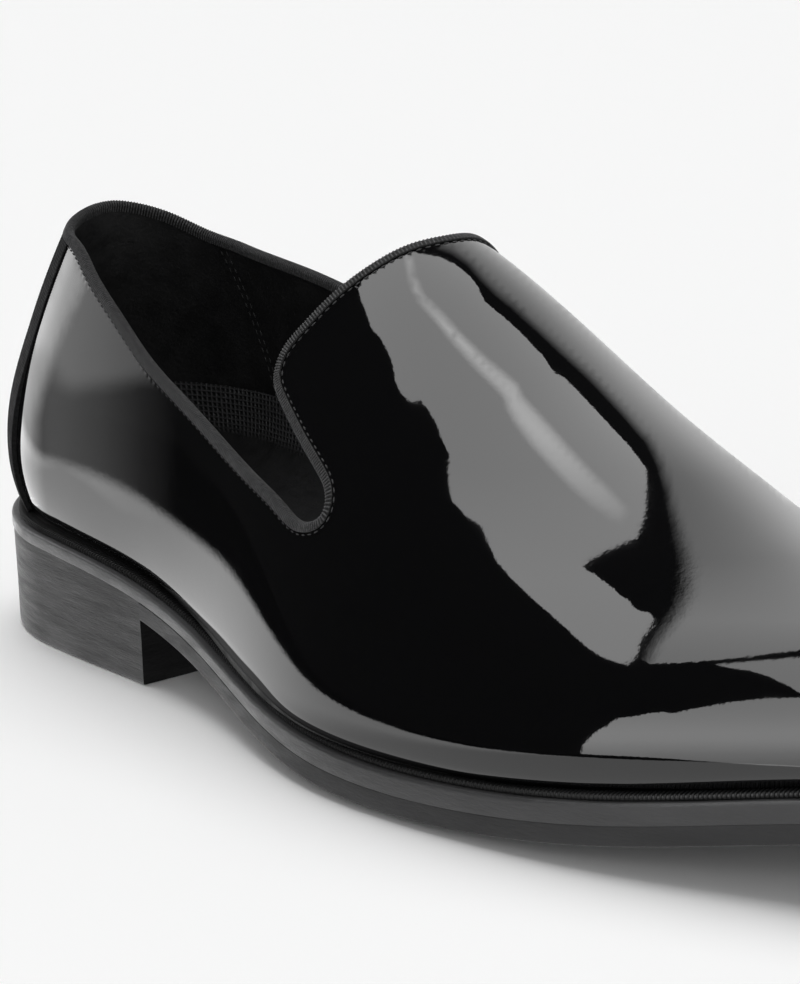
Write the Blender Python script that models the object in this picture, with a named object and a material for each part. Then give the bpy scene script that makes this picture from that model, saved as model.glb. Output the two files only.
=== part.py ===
"""Venetian loafer, right shoe: a patent upper with ribbon trim on a welted sole and a block heel.

The sizes are millimetres, with x measured from the back of the sole to the toe, y to the left
(the medial side) and z up from the floor. The meshes are made in metres, with the origin on the
floor under the middle of the shoe.
"""
import bmesh
import bpy
import numpy as np

MM = 0.001
MERGE_DISTANCE = 0.000001
SHARP_ANGLE = np.radians(40.0)

# Driving sizes of the shoe
LENGTH = 292.0
CLEARANCE = 0.3
UPPER_WALL = 2.0
WELT_THICK = 1.5
MIDSOLE_THICK = 4.0
OUTSOLE_THICK = 4.2
HEEL_BREAST = 81.0
SOLE_CROWN = 1.6
CROWN_INSET = 14.0
HEEL_BEVEL = 0.5
SOCK_BEVEL = 0.8

# Insets from the sole's outline
FEATHER_INSET = 3.4
WELT_OUTER_INSET = 1.8
WELT_INNER_INSET = 8.0
INSOLE_TENON_INSET = 8.4
INSOLE_INSET = 7.2
INSOLE_THICK = 2.2

# Rounded edges of the sole's layers: inset from the outline, and height above the layer's lower edge
EDGE_COLUMNS = ("inset", "height")
OUTSOLE_EDGE = ((1.2, 0.0), (0.3, 0.3), (0.0, 1.0), (0.0, 3.5))
MIDSOLE_EDGE = ((0.8, 0.0), (0.2, 0.7), (0.0, 1.6), (0.25, 2.6), (0.8, 3.5))
OUTSOLE_TOP_INSET = 0.5
MIDSOLE_TOP_INSET = 1.5
HEEL_INSETS = (2.0, 1.3, 0.7)

# Trim
BINDING_LEG = 2.5
RIBBON_THICK = 0.7
FOLD_ROUND = 0.4
LEG_GAP = 0.4
INNER_GAP = 0.7
FOLD_GAP = 0.7
OPENING_REACH = 9.0
OPENING_TOP = 160.0
STRIP_TOP_DEPTH = 17.5
STRIP_DEPTH = 25.0
STRIP_SHOULDER_DROP = 26.0

# Sections along the shoe: half-widths of the sole, height of the sole's lower edge, half-widths of
# the upper's body, height and sideways place of the upper's ridge, and the section's two roundness powers
SECTION_COLUMNS = ("x", "lateral", "medial", "bottom", "body_lateral", "body_medial", "ridge_height",
                   "ridge_side", "rise_power", "width_power")
SECTIONS = np.array([
    (0.0, 34.0, 31.5, 18.9, 33.0, 30.0, 104.0, 2.0, 1.7, 1.90),
    (25.0, 35.5, 32.5, 18.4, 34.0, 31.5, 104.0, 2.0, 1.7, 1.90),
    (50.0, 36.8, 32.5, 17.6, 34.0, 32.0, 105.0, 2.0, 1.8, 1.90),
    (80.0, 36.6, 29.0, 14.6, 34.0, 32.0, 105.5, 4.0, 2.0, 1.90),
    (105.0, 38.6, 28.5, 9.9, 36.0, 33.5, 104.6, 6.2, 2.1, 1.90),
    (130.0, 44.0, 33.5, 5.3, 41.0, 38.0, 98.8, 8.0, 2.1, 1.90),
    (155.0, 48.3, 42.0, 2.1, 45.5, 43.5, 86.6, 8.4, 2.1, 1.90),
    (178.0, 47.8, 46.5, 1.2, 45.5, 45.5, 74.0, 8.2, 2.1, 1.90),
    (205.0, 43.0, 46.0, 2.2, 41.0, 44.5, 62.4, 8.0, 2.1, 1.90),
    (232.0, 35.0, 40.5, 5.2, 33.0, 38.5, 52.8, 8.0, 2.2, 1.95),
    (262.0, 24.0, 32.0, 10.4, 22.4, 30.0, 48.0, 7.0, 2.3, 2.00),
    (292.0, 17.0, 26.0, 15.5, 15.5, 24.0, 46.0, 6.0, 2.3, 2.00),
])

# Curve of the upper's back: how far in front of the sole's back it lies at each height
BACK_COLUMNS = ("height", "x")
BACK_CURVE = np.array([(20.0, 4.4), (29.0, 1.7), (36.0, -0.3), (43.0, -1.0), (55.0, 1.0),
                       (68.0, 5.6), (80.0, 10.5), (92.0, 14.8), (105.0, 18.0)])

# Rounding of the plan outline at the heel and at the toe
HEEL_ROUND = 40.0
HEEL_POWER = 2.05
TOE_START = 205.0
TOE_POWER = 2.9
TOE_DROP_START = 228.0
TOE_DROP_POWER = 2.4
LEAST_RISE = 0.5
BODY_RISE = 0.22
BODY_POWER = 3
UNDERCUT = -0.3
RIDGE_POWER = 1.5

# The upper's flat pattern is unrolled from a line inside the shoe that ends in a fan at heel and toe
SPINE_SHARE = 0.3
FAN_BACK = 45.0
FAN_FRONT = 225.0
ROLL_RADIUS = 40.0
FEATHER_ROLL = 105.0
ROLL_SEARCH = 45.0

# Top edge in the flat pattern, from the back over quarter, notch and tab to the tab's middle: place along
# the shoe, and places around it on the two sides
TOPLINE_COLUMNS = ("along", "lateral", "medial")
TOPLINE = np.array([
    (17.4, 0.0, 0.0),
    (18.6, 5.6, 7.4),
    (22.0, 10.8, 13.8),
    (28.0, 15.4, 20.6),
    (36.5, 19.6, 25.1),
    (47.0, 25.0, 27.3),
    (62.0, 32.3, 29.4),
    (77.0, 39.7, 32.2),
    (93.0, 44.8, 36.9),
    (107.5, 48.5, 42.2),
    (121.0, 50.6, 47.1),
    (135.3, 51.6, 51.2),
    (143.2, 51.9, 52.7),
    (147.4, 50.3, 51.9),
    (150.2, 47.2, 50.0),
    (149.6, 44.2, 47.9),
    (145.0, 41.2, 46.0),
    (136.1, 38.0, 44.2),
    (126.6, 33.9, 41.4),
    (121.2, 29.9, 38.4),
    (120.6, 25.4, 34.8),
    (123.0, 20.2, 29.8),
    (126.4, 13.8, 23.6),
    (130.0, 7.2, 17.0),
    (133.2, 0.2, 10.0),
    (134.8, -5.0, 5.0),
])

# Mesh counts
OUTLINE_STEPS = 36
UPPER_COLUMNS = 44
UPPER_ROWS = 15
TOPLINE_STEPS = 96
STRIP_COLUMNS = 6
STRIP_ROWS = 12
BISECTIONS = 40
MIDDLE_SAMPLES = 400
PATTERN_STEP = 0.05
LEAST_REACH = 1e-9

LATERAL = -1
MEDIAL = 1

# Finishes: colour and roughness
PATENT_FINISH = ((0.004, 0.004, 0.005), 0.08)
RIBBON_FINISH = ((0.012, 0.012, 0.013), 0.7)
WELT_FINISH = ((0.015, 0.015, 0.016), 0.6)
EDGE_FINISH = ((0.075, 0.075, 0.078), 0.5)
SOLE_FINISH = ((0.030, 0.030, 0.032), 0.55)
SOCK_FINISH = ((0.018, 0.018, 0.020), 0.8)


def smooth_curve(xs, ys):
    """Returns a natural cubic curve through the points as a function."""
    steps = np.diff(xs)
    count = len(xs)
    matrix = np.eye(count)
    right = np.zeros(count)
    for i in range(1, count - 1):
        matrix[i, i - 1:i + 2] = steps[i - 1], 2 * (steps[i - 1] + steps[i]), steps[i]
        right[i] = 6 * ((ys[i + 1] - ys[i]) / steps[i] - (ys[i] - ys[i - 1]) / steps[i - 1])
    bend = np.linalg.solve(matrix, right)

    def value(x):
        x = np.clip(x, xs[0], xs[-1])
        i = np.clip(np.searchsorted(xs, x) - 1, 0, count - 2)
        after = x - xs[i]
        before = xs[i + 1] - x
        cubic = (bend[i] * before**3 + bend[i + 1] * after**3) / (6 * steps[i])
        start = (ys[i] / steps[i] - bend[i] * steps[i] / 6) * before
        end = (ys[i + 1] / steps[i] - bend[i + 1] * steps[i] / 6) * after
        return cubic + start + end

    return value


SECTION = {name: smooth_curve(SECTIONS[:, 0], SECTIONS[:, i]) for i, name in enumerate(SECTION_COLUMNS)}
back_of_upper = smooth_curve(BACK_CURVE[:, 0], BACK_CURVE[:, 1])


def end_closing(x, back, toe):
    """Share of the full width that is left near the rounded heel and toe."""
    heel = np.clip((HEEL_ROUND - x) / (HEEL_ROUND - back), 0, 1)
    front = np.clip((x - TOE_START) / (toe - TOE_START), 0, 1)
    return (1 - heel**HEEL_POWER)**(1 / HEEL_POWER) * (1 - front**TOE_POWER)**(1 / TOE_POWER)


def sole_half_width(x, side, inset=0.0):
    """Half-width of the sole's outline on one side, moved in by an inset."""
    width = SECTION["medial" if side == MEDIAL else "lateral"](x) - inset
    return width * end_closing(x, inset, LENGTH - inset)


def outsole_top(x):
    return SECTION["bottom"](x) + OUTSOLE_THICK - CLEARANCE


def midsole_base(x):
    return SECTION["bottom"](x) + OUTSOLE_THICK


def midsole_top(x):
    return midsole_base(x) + MIDSOLE_THICK


def welt_base(x):
    return midsole_top(x) + CLEARANCE


def welt_top(x):
    return welt_base(x) + WELT_THICK


def feather_height(x):
    """Height of the upper's lower edge."""
    return welt_top(x) + CLEARANCE


def ridge_rise(x):
    """Height of the ridge above the lower edge, falling off in a round toe."""
    front = np.clip((x - TOE_DROP_START) / (LENGTH - FEATHER_INSET - TOE_DROP_START), 0, 1)
    rounding = (1 - front**TOE_DROP_POWER)**(1 / TOE_DROP_POWER)
    return np.maximum((SECTION["ridge_height"](x) - feather_height(x)) * rounding, LEAST_RISE)


def rise_share(x, z):
    """Height as a share of the way from the lower edge to the ridge."""
    return (z - feather_height(x)) / ridge_rise(x)


def middle_line(x, z):
    """Y at which the upper's two halves meet, moving over to the ridge with height."""
    return SECTION["ridge_side"](x) * np.clip(rise_share(x, z), 0, 1)**RIDGE_POWER


def upper_half_width(x, z, side):
    """Distance of the upper's outside from its middle line at one height."""
    rise = rise_share(x, z)
    base = SECTION["medial" if side == MEDIAL else "lateral"](x) - FEATHER_INSET
    body = SECTION["body_medial" if side == MEDIAL else "body_lateral"](x)
    swell = 1 - (1 - np.clip(rise / BODY_RISE, UNDERCUT, 1))**BODY_POWER
    dome = (1 - np.clip(rise, 0, 1)**SECTION["rise_power"](x))**(1 / SECTION["width_power"](x))
    return (base + (body - base) * swell) * dome * end_closing(x, back_of_upper(z), LENGTH - FEATHER_INSET)


def outside_by(points):
    """Sideways distance of points from the upper's outside, negative within it."""
    x, y, z = points[..., 0], points[..., 1], points[..., 2]
    offset = y - middle_line(x, z)
    half = np.where(offset > 0, upper_half_width(x, z, MEDIAL), upper_half_width(x, z, LATERAL))
    return np.abs(offset) - half


def on_upper(along, around):
    """Points of the upper's outside at places of its flat pattern."""
    base = np.clip(along, FAN_BACK, FAN_FRONT)
    reach = np.maximum(np.hypot(along - base, around), LEAST_REACH)
    roll = reach / ROLL_RADIUS
    ray = np.stack([np.sin(roll) * (along - base) / reach, np.sin(roll) * around / reach, np.cos(roll)], -1)
    height = feather_height(base) + SPINE_SHARE * ridge_rise(base)
    start = np.stack([base, middle_line(base, height), height], -1)
    near = np.zeros_like(base)
    far = np.full_like(base, LENGTH / 2)
    for _ in range(BISECTIONS):
        half_way = (near + far) / 2
        out = outside_by(start + half_way[..., None] * ray) > 0
        far = np.where(out, half_way, far)
        near = np.where(out, near, half_way)
    return start + near[..., None] * ray


def surface_steps(along, around):
    """How the upper's outside runs along and around at places of the flat pattern."""
    ahead = on_upper(along + PATTERN_STEP, around) - on_upper(along - PATTERN_STEP, around)
    sideways = on_upper(along, around + PATTERN_STEP) - on_upper(along, around - PATTERN_STEP)
    return ahead / (2 * PATTERN_STEP), sideways / (2 * PATTERN_STEP)


def unit(vectors):
    return vectors / np.linalg.norm(vectors, axis=-1, keepdims=True)


def outward(along, around):
    """Unit normals of the upper's outside at places of the flat pattern."""
    ahead, sideways = surface_steps(along, around)
    return unit(np.cross(ahead, sideways))


def fan_ray(share, side):
    """Base and direction in the flat pattern at a share of the lower edge, from heel to toe."""
    reach = ROLL_RADIUS * np.radians(FEATHER_ROLL)
    arc = reach * np.pi / 2
    straight = FAN_FRONT - FAN_BACK
    way = share * (2 * arc + straight)
    turn = np.clip(way, 0, arc) / reach + np.clip(way - arc - straight, 0, arc) / reach
    base = FAN_BACK + np.clip(way - arc, 0, straight)
    return base, -np.cos(turn), side * np.sin(turn)


def upper_pattern(columns, rows):
    """Places of the whole form in the flat pattern, in rings from the ridge to the lower edge."""
    shares = np.linspace(0, 1, columns + 1)
    lateral = fan_ray(shares, LATERAL)
    medial = fan_ray(shares[-2:0:-1], MEDIAL)
    base, ahead, sideways = (np.concatenate(pair) for pair in zip(lateral, medial))
    near = np.full_like(base, ROLL_RADIUS * np.radians(FEATHER_ROLL - ROLL_SEARCH))
    far = np.full_like(base, ROLL_RADIUS * np.radians(FEATHER_ROLL + ROLL_SEARCH))
    for _ in range(BISECTIONS):
        reach = (near + far) / 2
        point = on_upper(base + reach * ahead, reach * sideways)
        below = point[..., 2] < feather_height(point[..., 0])
        far = np.where(below, reach, far)
        near = np.where(below, near, reach)
    reach = near * np.linspace(0, 1, rows + 1)[:, None]
    return base + reach * ahead, reach * sideways


def topline_pattern(count):
    """Places of the top edge in the flat pattern, from the back round the lateral side."""
    along = np.concatenate([TOPLINE[:, 0], TOPLINE[-2:0:-1, 0]])
    around = np.concatenate([-TOPLINE[:, 1], TOPLINE[-2:0:-1, 2]])
    # The closed curve is run through three times, so that the middle turn has no ends
    along = np.concatenate([along, along, along, along[:1]])
    around = np.concatenate([around, around, around, around[:1]])
    chord = np.concatenate([[0], np.cumsum(np.hypot(np.diff(along), np.diff(around)))])
    turn = chord[-1] / 3
    way = turn + turn * np.arange(count) / count
    return smooth_curve(chord, along)(way), smooth_curve(chord, around)(way)


def band_faces(first_ring, second_ring, count):
    """Faces between two closed rings of points, given where each ring starts."""
    faces = []
    for i in range(count):
        j = (i + 1) % count
        faces.append((first_ring + i, first_ring + j, second_ring + j, second_ring + i))
    return faces


def rungs(pairs, start, turned):
    """Faces across a ring of the sole, from its lateral to its medial points."""
    faces = []
    for (a, b), (c, d) in zip(pairs[:-1], pairs[1:]):
        corners = list(dict.fromkeys((a, c, d, b)))
        face = tuple(start + corner for corner in corners)
        faces.append(face[::-1] if turned else face)
    return faces


def shoe_middle():
    """Point on the floor under the middle of the whole shoe."""
    x = np.linspace(0, LENGTH, MIDDLE_SAMPLES)
    height = np.linspace(BACK_CURVE[0, 0], BACK_CURVE[-1, 0], MIDDLE_SAMPLES)
    back = back_of_upper(height).min() - CLEARANCE - RIBBON_THICK
    medial = sole_half_width(x, MEDIAL).max()
    lateral = sole_half_width(x, LATERAL).max()
    return np.array([(LENGTH + back) / 2, (medial - lateral) / 2, 0.0])


def add_solid(name, points, faces, finish):
    """Makes one named object from points in millimetres, with its own material."""
    colour, roughness = finish
    mesh = bpy.data.meshes.new(name)
    mesh.from_pydata(((np.asarray(points) - shoe_middle()) * MM).tolist(), [], faces)
    edit = bmesh.new()
    edit.from_mesh(mesh)
    bmesh.ops.remove_doubles(edit, verts=edit.verts[:], dist=MERGE_DISTANCE)
    bmesh.ops.triangulate(edit, faces=edit.faces[:])
    bmesh.ops.recalc_face_normals(edit, faces=edit.faces[:])
    edit.to_mesh(mesh)
    edit.free()
    mesh.shade_smooth()
    mesh.set_sharp_from_angle(angle=SHARP_ANGLE)
    material = bpy.data.materials.new(name)
    material.use_nodes = True
    shader = material.node_tree.nodes["Principled BSDF"]
    shader.inputs["Base Color"].default_value = (*colour, 1.0)
    shader.inputs["Roughness"].default_value = roughness
    shader.inputs["Metallic"].default_value = 0.0
    mesh.materials.append(material)
    thing = bpy.data.objects.new(name, mesh)
    bpy.context.scene.collection.objects.link(thing)
    return thing


def outline_stations(inset, start=None, end=None):
    """Places along the shoe for a ring, closer together at rounded ends."""
    turn = np.linspace(0, 1, OUTLINE_STEPS + 1)
    if start is not None:
        return start + (LENGTH - inset - start) * np.sin(turn * np.pi / 2)
    if end is not None:
        return inset + (end - inset) * (1 - np.cos(turn * np.pi / 2))
    return inset + (LENGTH - 2 * inset) * (1 - np.cos(turn * np.pi)) / 2


def sole_ring(inset, height, start=None, end=None):
    """One ring of the sole's outline at a height, and its pairs of lateral and medial points."""
    x = outline_stations(inset, start, end)
    z = height(x) if callable(height) else np.full_like(x, height)
    lateral = np.stack([x, -sole_half_width(x, LATERAL, inset), z], -1)
    medial = np.stack([x, sole_half_width(x, MEDIAL, inset), z], -1)
    first = 1 if start is None else 0
    last = len(x) - 1 if end is None else len(x)
    ring = np.concatenate([lateral, medial[first:last][::-1]])
    pairs = []
    for i in range(len(x)):
        partner = len(ring) - 1 - (i - first) if first <= i < last else i
        pairs.append((i, partner))
    return ring, pairs


def sole_layer(name, profile, finish, start=None, end=None):
    """A solid layer of the sole from a profile of insets and heights, bottom to top."""
    rings = [sole_ring(inset, height, start, end) for inset, height in profile]
    pairs = rings[0][1]
    count = len(rings[0][0])
    points = np.stack([ring for ring, _ in rings])
    faces = rungs(pairs, 0, False) + ring_faces(points, False) + rungs(pairs, (len(rings) - 1) * count, True)
    add_solid(name, points.reshape(-1, 3), faces, finish)


def add_outsole():
    """Dark lower layer from the heel breast to the toe, with a flat tread under the ball."""
    def tread(x):
        return np.maximum(SECTION["bottom"](x) - SOLE_CROWN, 0.0)

    def raised(height):
        return lambda x: SECTION["bottom"](x) + height

    rounded = [(inset, raised(height)) for inset, height in OUTSOLE_EDGE]
    profile = [(CROWN_INSET, tread), *rounded, (OUTSOLE_TOP_INSET, outsole_top)]
    sole_layer("outsole", profile, SOLE_FINISH, start=HEEL_BREAST + CLEARANCE)


def add_midsole():
    """Full-length layer whose rounded edge flares out over the outsole and the heel."""
    def raised(height):
        return lambda x: midsole_base(x) + height

    rounded = [(inset, raised(height)) for inset, height in MIDSOLE_EDGE]
    sole_layer("midsole", [*rounded, (MIDSOLE_TOP_INSET, midsole_top)], EDGE_FINISH)


def add_heel():
    """Block under the heel seat, with a straight breast and a slight taper to the floor."""
    profile = list(zip(HEEL_INSETS, (0.0, HEEL_BEVEL, outsole_top)))
    sole_layer("heel", profile, SOLE_FINISH, end=HEEL_BREAST)


def add_welt():
    """Flat strip all round between the upper's lower edge and the sole."""
    profile = [(WELT_OUTER_INSET, welt_base), (WELT_OUTER_INSET, welt_top),
               (WELT_INNER_INSET, welt_top), (WELT_INNER_INSET, welt_base)]
    rings = np.stack([sole_ring(inset, height)[0] for inset, height in profile])
    add_solid("welt", rings.reshape(-1, 3), ring_faces(rings, True), WELT_FINISH)


def add_insole():
    """Footbed whose narrow lower part sits inside the welt and whose flange lies over it."""
    def raised(height):
        return lambda x: welt_top(x) + height

    profile = [(INSOLE_TENON_INSET, welt_base), (INSOLE_TENON_INSET, raised(CLEARANCE)),
               (INSOLE_INSET, raised(CLEARANCE)), (INSOLE_INSET, raised(INSOLE_THICK - SOCK_BEVEL)),
               (INSOLE_INSET + SOCK_BEVEL, raised(INSOLE_THICK))]
    sole_layer("insole", profile, SOCK_FINISH)


def ring_faces(rings, closed):
    """Faces between rings of points that follow each other, each ring being closed."""
    count = rings.shape[1]
    faces = []
    for i in range(len(rings) if closed else len(rings) - 1):
        faces += band_faces(i * count, ((i + 1) % len(rings)) * count, count)
    return faces


def add_upper():
    """Shell of the whole form, open underneath, with the foot's opening cut along the top edge."""
    along, around = upper_pattern(UPPER_COLUMNS, UPPER_ROWS)
    outside = on_upper(along, around)
    inside = outside - UPPER_WALL * outward(along, around)
    inside[-1, :, 2] = outside[-1, :, 2]
    rings = np.concatenate([outside, inside[::-1]])
    upper = add_solid("upper", rings.reshape(-1, 3), ring_faces(rings, False), PATENT_FINISH)
    along, around = topline_pattern(TOPLINE_STEPS)
    edge = on_upper(along, around)
    normal = outward(along, around)
    over = edge + OPENING_REACH * normal
    above = over * (1, 1, 0) + (0, 0, OPENING_TOP)
    walls = np.stack([edge - OPENING_REACH * normal, over, above])
    lids = [tuple(range(TOPLINE_STEPS)), tuple(range(2 * TOPLINE_STEPS, 3 * TOPLINE_STEPS))]
    opening = add_solid("foot_opening", walls.reshape(-1, 3), ring_faces(walls, False) + lids, PATENT_FINISH)
    opening.hide_render = True
    opening.display_type = "WIRE"
    cut = upper.modifiers.new("foot opening", "BOOLEAN")
    cut.operation = "DIFFERENCE"
    cut.object = opening


def binding_lines():
    """Top edge and the line of the binding's lower edge below it, each with its normals."""
    along, around = topline_pattern(TOPLINE_STEPS)
    edge = on_upper(along, around)
    normal = outward(along, around)
    run = unit(np.roll(edge, -1, 0) - np.roll(edge, 1, 0))
    down = unit(np.cross(run, normal))
    ahead, sideways = surface_steps(along, around)
    stretch = np.array([[np.sum(a * b, -1) for b in (ahead, sideways)] for a in (ahead, sideways)])
    share = np.array([np.sum(a * down, -1) for a in (ahead, sideways)])
    step = BINDING_LEG * np.linalg.solve(np.moveaxis(stretch, -1, 0), share.T[..., None])[..., 0]
    hem_along = along + step[:, 0]
    hem_around = around + step[:, 1]
    return edge, normal, down, on_upper(hem_along, hem_around), outward(hem_along, hem_around)


def add_binding():
    """Folded ribbon that straddles the top edge, with one leg outside and one inside."""
    edge, normal, down, hem, hem_normal = binding_lines()
    near = LEG_GAP
    far = LEG_GAP + RIBBON_THICK
    top = FOLD_GAP + RIBBON_THICK
    inner = UPPER_WALL + INNER_GAP
    lining = inner + RIBBON_THICK
    rings = np.stack([
        hem + far * hem_normal,
        edge + far * normal,
        edge + FOLD_ROUND * normal - top * down,
        edge - (UPPER_WALL + FOLD_ROUND) * normal - top * down,
        edge - lining * normal,
        hem - lining * hem_normal,
        hem - inner * hem_normal,
        edge - inner * normal - FOLD_GAP * down,
        edge + near * normal - FOLD_GAP * down,
        hem + near * hem_normal])
    add_solid("topline_binding", rings.reshape(-1, 3), ring_faces(rings, True), RIBBON_FINISH)
    return hem


def strip_top(turn, hem):
    """Heights just under the binding's lower edge, for places across the back strip."""
    behind = hem[hem[:, 0] < FAN_BACK]
    offset = behind[:, 1] - middle_line(behind[:, 0], behind[:, 2])
    across = np.sign(offset) * (behind[:, 0] - behind[:, 0].min())
    order = np.argsort(across)
    return np.interp(np.sign(turn) * strip_reach(turn, STRIP_TOP_DEPTH), across[order], behind[order, 2])


def strip_reach(turn, depth):
    """Distance in front of the upper's back curve, for places across the back strip."""
    return depth * (1 - np.cos(turn * np.pi / 2))


def add_back_strip(hem):
    """Flat ribbon wrapped round the back of the heel, from the binding down to the welt."""
    turn = np.linspace(-1, 1, 2 * STRIP_COLUMNS + 1)
    top = strip_top(turn, hem) - 2 * CLEARANCE
    low = feather_height(0.0) + CLEARANCE
    height = low + (top - low) * np.linspace(0, 1, STRIP_ROWS)[:, None]
    drop = np.clip((top - height) / STRIP_SHOULDER_DROP, 0, 1)
    depth = STRIP_TOP_DEPTH + (STRIP_DEPTH - STRIP_TOP_DEPTH) * drop
    x = back_of_upper(height) + strip_reach(turn, depth)
    half = np.where(turn > 0, upper_half_width(x, height, MEDIAL), -upper_half_width(x, height, LATERAL))
    face = np.stack([x, middle_line(x, height) + half, height], -1)
    normal = unit(np.cross(np.gradient(face, axis=0), np.gradient(face, axis=1)))
    skins = (face + CLEARANCE * normal, face + (CLEARANCE + RIBBON_THICK) * normal)
    rows, columns = face.shape[:2]
    count = rows * columns
    faces = []
    for skin in range(2):
        for i in range(rows - 1):
            for j in range(columns - 1):
                corner = skin * count + i * columns + j
                faces.append((corner, corner + 1, corner + columns + 1, corner + columns))
    rim = [j for j in range(columns)]
    rim += [i * columns + columns - 1 for i in range(1, rows)]
    rim += [(rows - 1) * columns + j for j in range(columns - 2, -1, -1)]
    rim += [i * columns for i in range(rows - 2, 0, -1)]
    for a, b in zip(rim, rim[1:] + rim[:1]):
        faces.append((a, b, count + b, count + a))
    add_solid("back_strip", np.concatenate([skin.reshape(-1, 3) for skin in skins]), faces, RIBBON_FINISH)


def main():
    """Clears the scene and makes the shoe's pieces."""
    for thing in list(bpy.data.objects):
        bpy.data.objects.remove(thing, do_unlink=True)
    add_outsole()
    add_midsole()
    add_heel()
    add_welt()
    add_insole()
    add_upper()
    hem = add_binding()
    add_back_strip(hem)


main()
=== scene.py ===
"""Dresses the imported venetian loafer: patent upper, ribbon trim, welt, sole, sock and a plain studio.

The form is the one that the solids have, in millimetres: x from the back of the sole to the toe,
y to the medial side and z up from the floor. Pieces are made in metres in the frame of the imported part.
"""

import bmesh
import bpy
import numpy as np
from bpy.props import FloatProperty, FloatVectorProperty, PointerProperty
from mathutils import Matrix, Vector
from mathutils.bvhtree import BVHTree
from mathutils.geometry import delaunay_2d_cdt
from mathutils.interpolate import poly_3d_calc
from mathutils.kdtree import KDTree


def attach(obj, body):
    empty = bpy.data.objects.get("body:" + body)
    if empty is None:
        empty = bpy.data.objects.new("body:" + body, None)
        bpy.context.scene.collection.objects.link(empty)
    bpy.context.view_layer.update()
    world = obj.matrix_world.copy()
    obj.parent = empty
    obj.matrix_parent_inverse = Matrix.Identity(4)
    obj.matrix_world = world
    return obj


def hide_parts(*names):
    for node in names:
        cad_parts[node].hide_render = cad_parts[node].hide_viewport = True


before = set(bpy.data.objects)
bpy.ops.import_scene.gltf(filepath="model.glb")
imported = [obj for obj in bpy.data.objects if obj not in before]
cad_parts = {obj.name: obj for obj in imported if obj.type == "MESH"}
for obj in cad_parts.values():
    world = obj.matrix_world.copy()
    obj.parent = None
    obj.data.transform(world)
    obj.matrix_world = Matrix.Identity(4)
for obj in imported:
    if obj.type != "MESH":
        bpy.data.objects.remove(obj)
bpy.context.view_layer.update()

bl_info = {
    "name": "Venetian Loafer",
    "version": (1, 0, 0),
    "blender": (4, 5, 0),
    "location": "View3D > Sidebar > Loafer",
    "description": "Makes the visible pieces of a patent venetian loafer around its packed frame",
    "category": "Object",
}

MM = 0.001
BODY = "root"

# Driving sizes of the form
LENGTH = 292.0
CLEARANCE = 0.3
WELT_THICK = 1.5
MIDSOLE_THICK = 4.0
OUTSOLE_THICK = 4.2
HEEL_BREAST = 81.0
SOLE_CROWN = 1.6
CROWN_INSET = 14.0
FEATHER_INSET = 3.4

# Place of the solids' rearmost point along the shoe
BACK_REACH = -2.002

# Back strip: how far round the heel it reaches at its top and lower down, and the curve of its side edges
STRIP_TOP_DEPTH = 17.5
STRIP_DEPTH = 25.0
STRIP_SHOULDER_DROP = 40.0
STRIP_SHOULDER_POWER = 1.6
STRIP_OVERLAP = 0.3
STRIP_FOOT = 0.2

# Sections along the shoe: half-widths of the sole, height of the sole's lower edge, half-widths of
# the upper's body, height and sideways place of the upper's ridge, and the section's two roundness powers
SECTION_COLUMNS = ("x", "lateral", "medial", "bottom", "body_lateral", "body_medial", "ridge_height",
                   "ridge_side", "rise_power", "width_power")
SECTIONS = np.array([
    (0.0, 34.0, 31.5, 18.9, 33.0, 30.0, 104.0, 2.0, 1.7, 1.90),
    (25.0, 35.5, 32.5, 18.4, 34.0, 31.5, 104.0, 2.0, 1.7, 1.90),
    (50.0, 36.8, 32.5, 17.6, 34.0, 32.0, 105.0, 2.0, 1.8, 1.90),
    (80.0, 36.6, 29.0, 14.6, 34.0, 32.0, 105.5, 4.0, 2.0, 1.90),
    (105.0, 38.6, 28.5, 9.9, 36.0, 33.5, 104.6, 6.2, 2.1, 1.90),
    (130.0, 44.0, 33.5, 5.3, 41.0, 38.0, 98.8, 8.0, 2.1, 1.90),
    (155.0, 48.3, 42.0, 2.1, 45.5, 43.5, 86.6, 8.4, 2.1, 1.90),
    (178.0, 47.8, 46.5, 1.2, 45.5, 45.5, 74.0, 8.2, 2.1, 1.90),
    (205.0, 43.0, 46.0, 2.2, 41.0, 44.5, 62.4, 8.0, 2.1, 1.90),
    (232.0, 35.0, 40.5, 5.2, 33.0, 38.5, 52.8, 8.0, 2.2, 1.95),
    (262.0, 24.0, 32.0, 10.4, 22.4, 30.0, 48.0, 7.0, 2.3, 2.00),
    (292.0, 17.0, 26.0, 15.5, 15.5, 24.0, 46.0, 6.0, 2.3, 2.00),
])

# Curve of the upper's back: height, and how far in front of the sole's back it lies
BACK_CURVE = np.array([(20.0, 4.4), (29.0, 1.7), (36.0, -0.4), (43.0, -1.2), (55.0, 1.0),
                       (68.0, 6.2), (80.0, 11.6), (92.0, 16.2), (105.0, 19.4)])

# Rounding of the plan outline at the heel and at the toe, and of the sections
HEEL_ROUND = 40.0
HEEL_POWER = 2.05
TOE_START = 205.0
TOE_POWER = 2.9
TOE_DROP_START = 228.0
TOE_DROP_POWER = 2.4
LEAST_RISE = 0.5
BODY_RISE = 0.22
BODY_POWER = 3
UNDERCUT = -0.3
RIDGE_POWER = 1.5

# The flat pattern is unrolled from a line inside the shoe that ends in a fan at heel and toe
SPINE_SHARE = 0.3
FAN_BACK = 45.0
FAN_FRONT = 225.0
ROLL_RADIUS = 40.0
FEATHER_ROLL = 105.0
ROLL_SEARCH = 45.0
BISECTIONS = 32
PATTERN_STEP = 0.05
LEAST_REACH = 1e-9
LEAST_TILT = 1e-6

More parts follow.
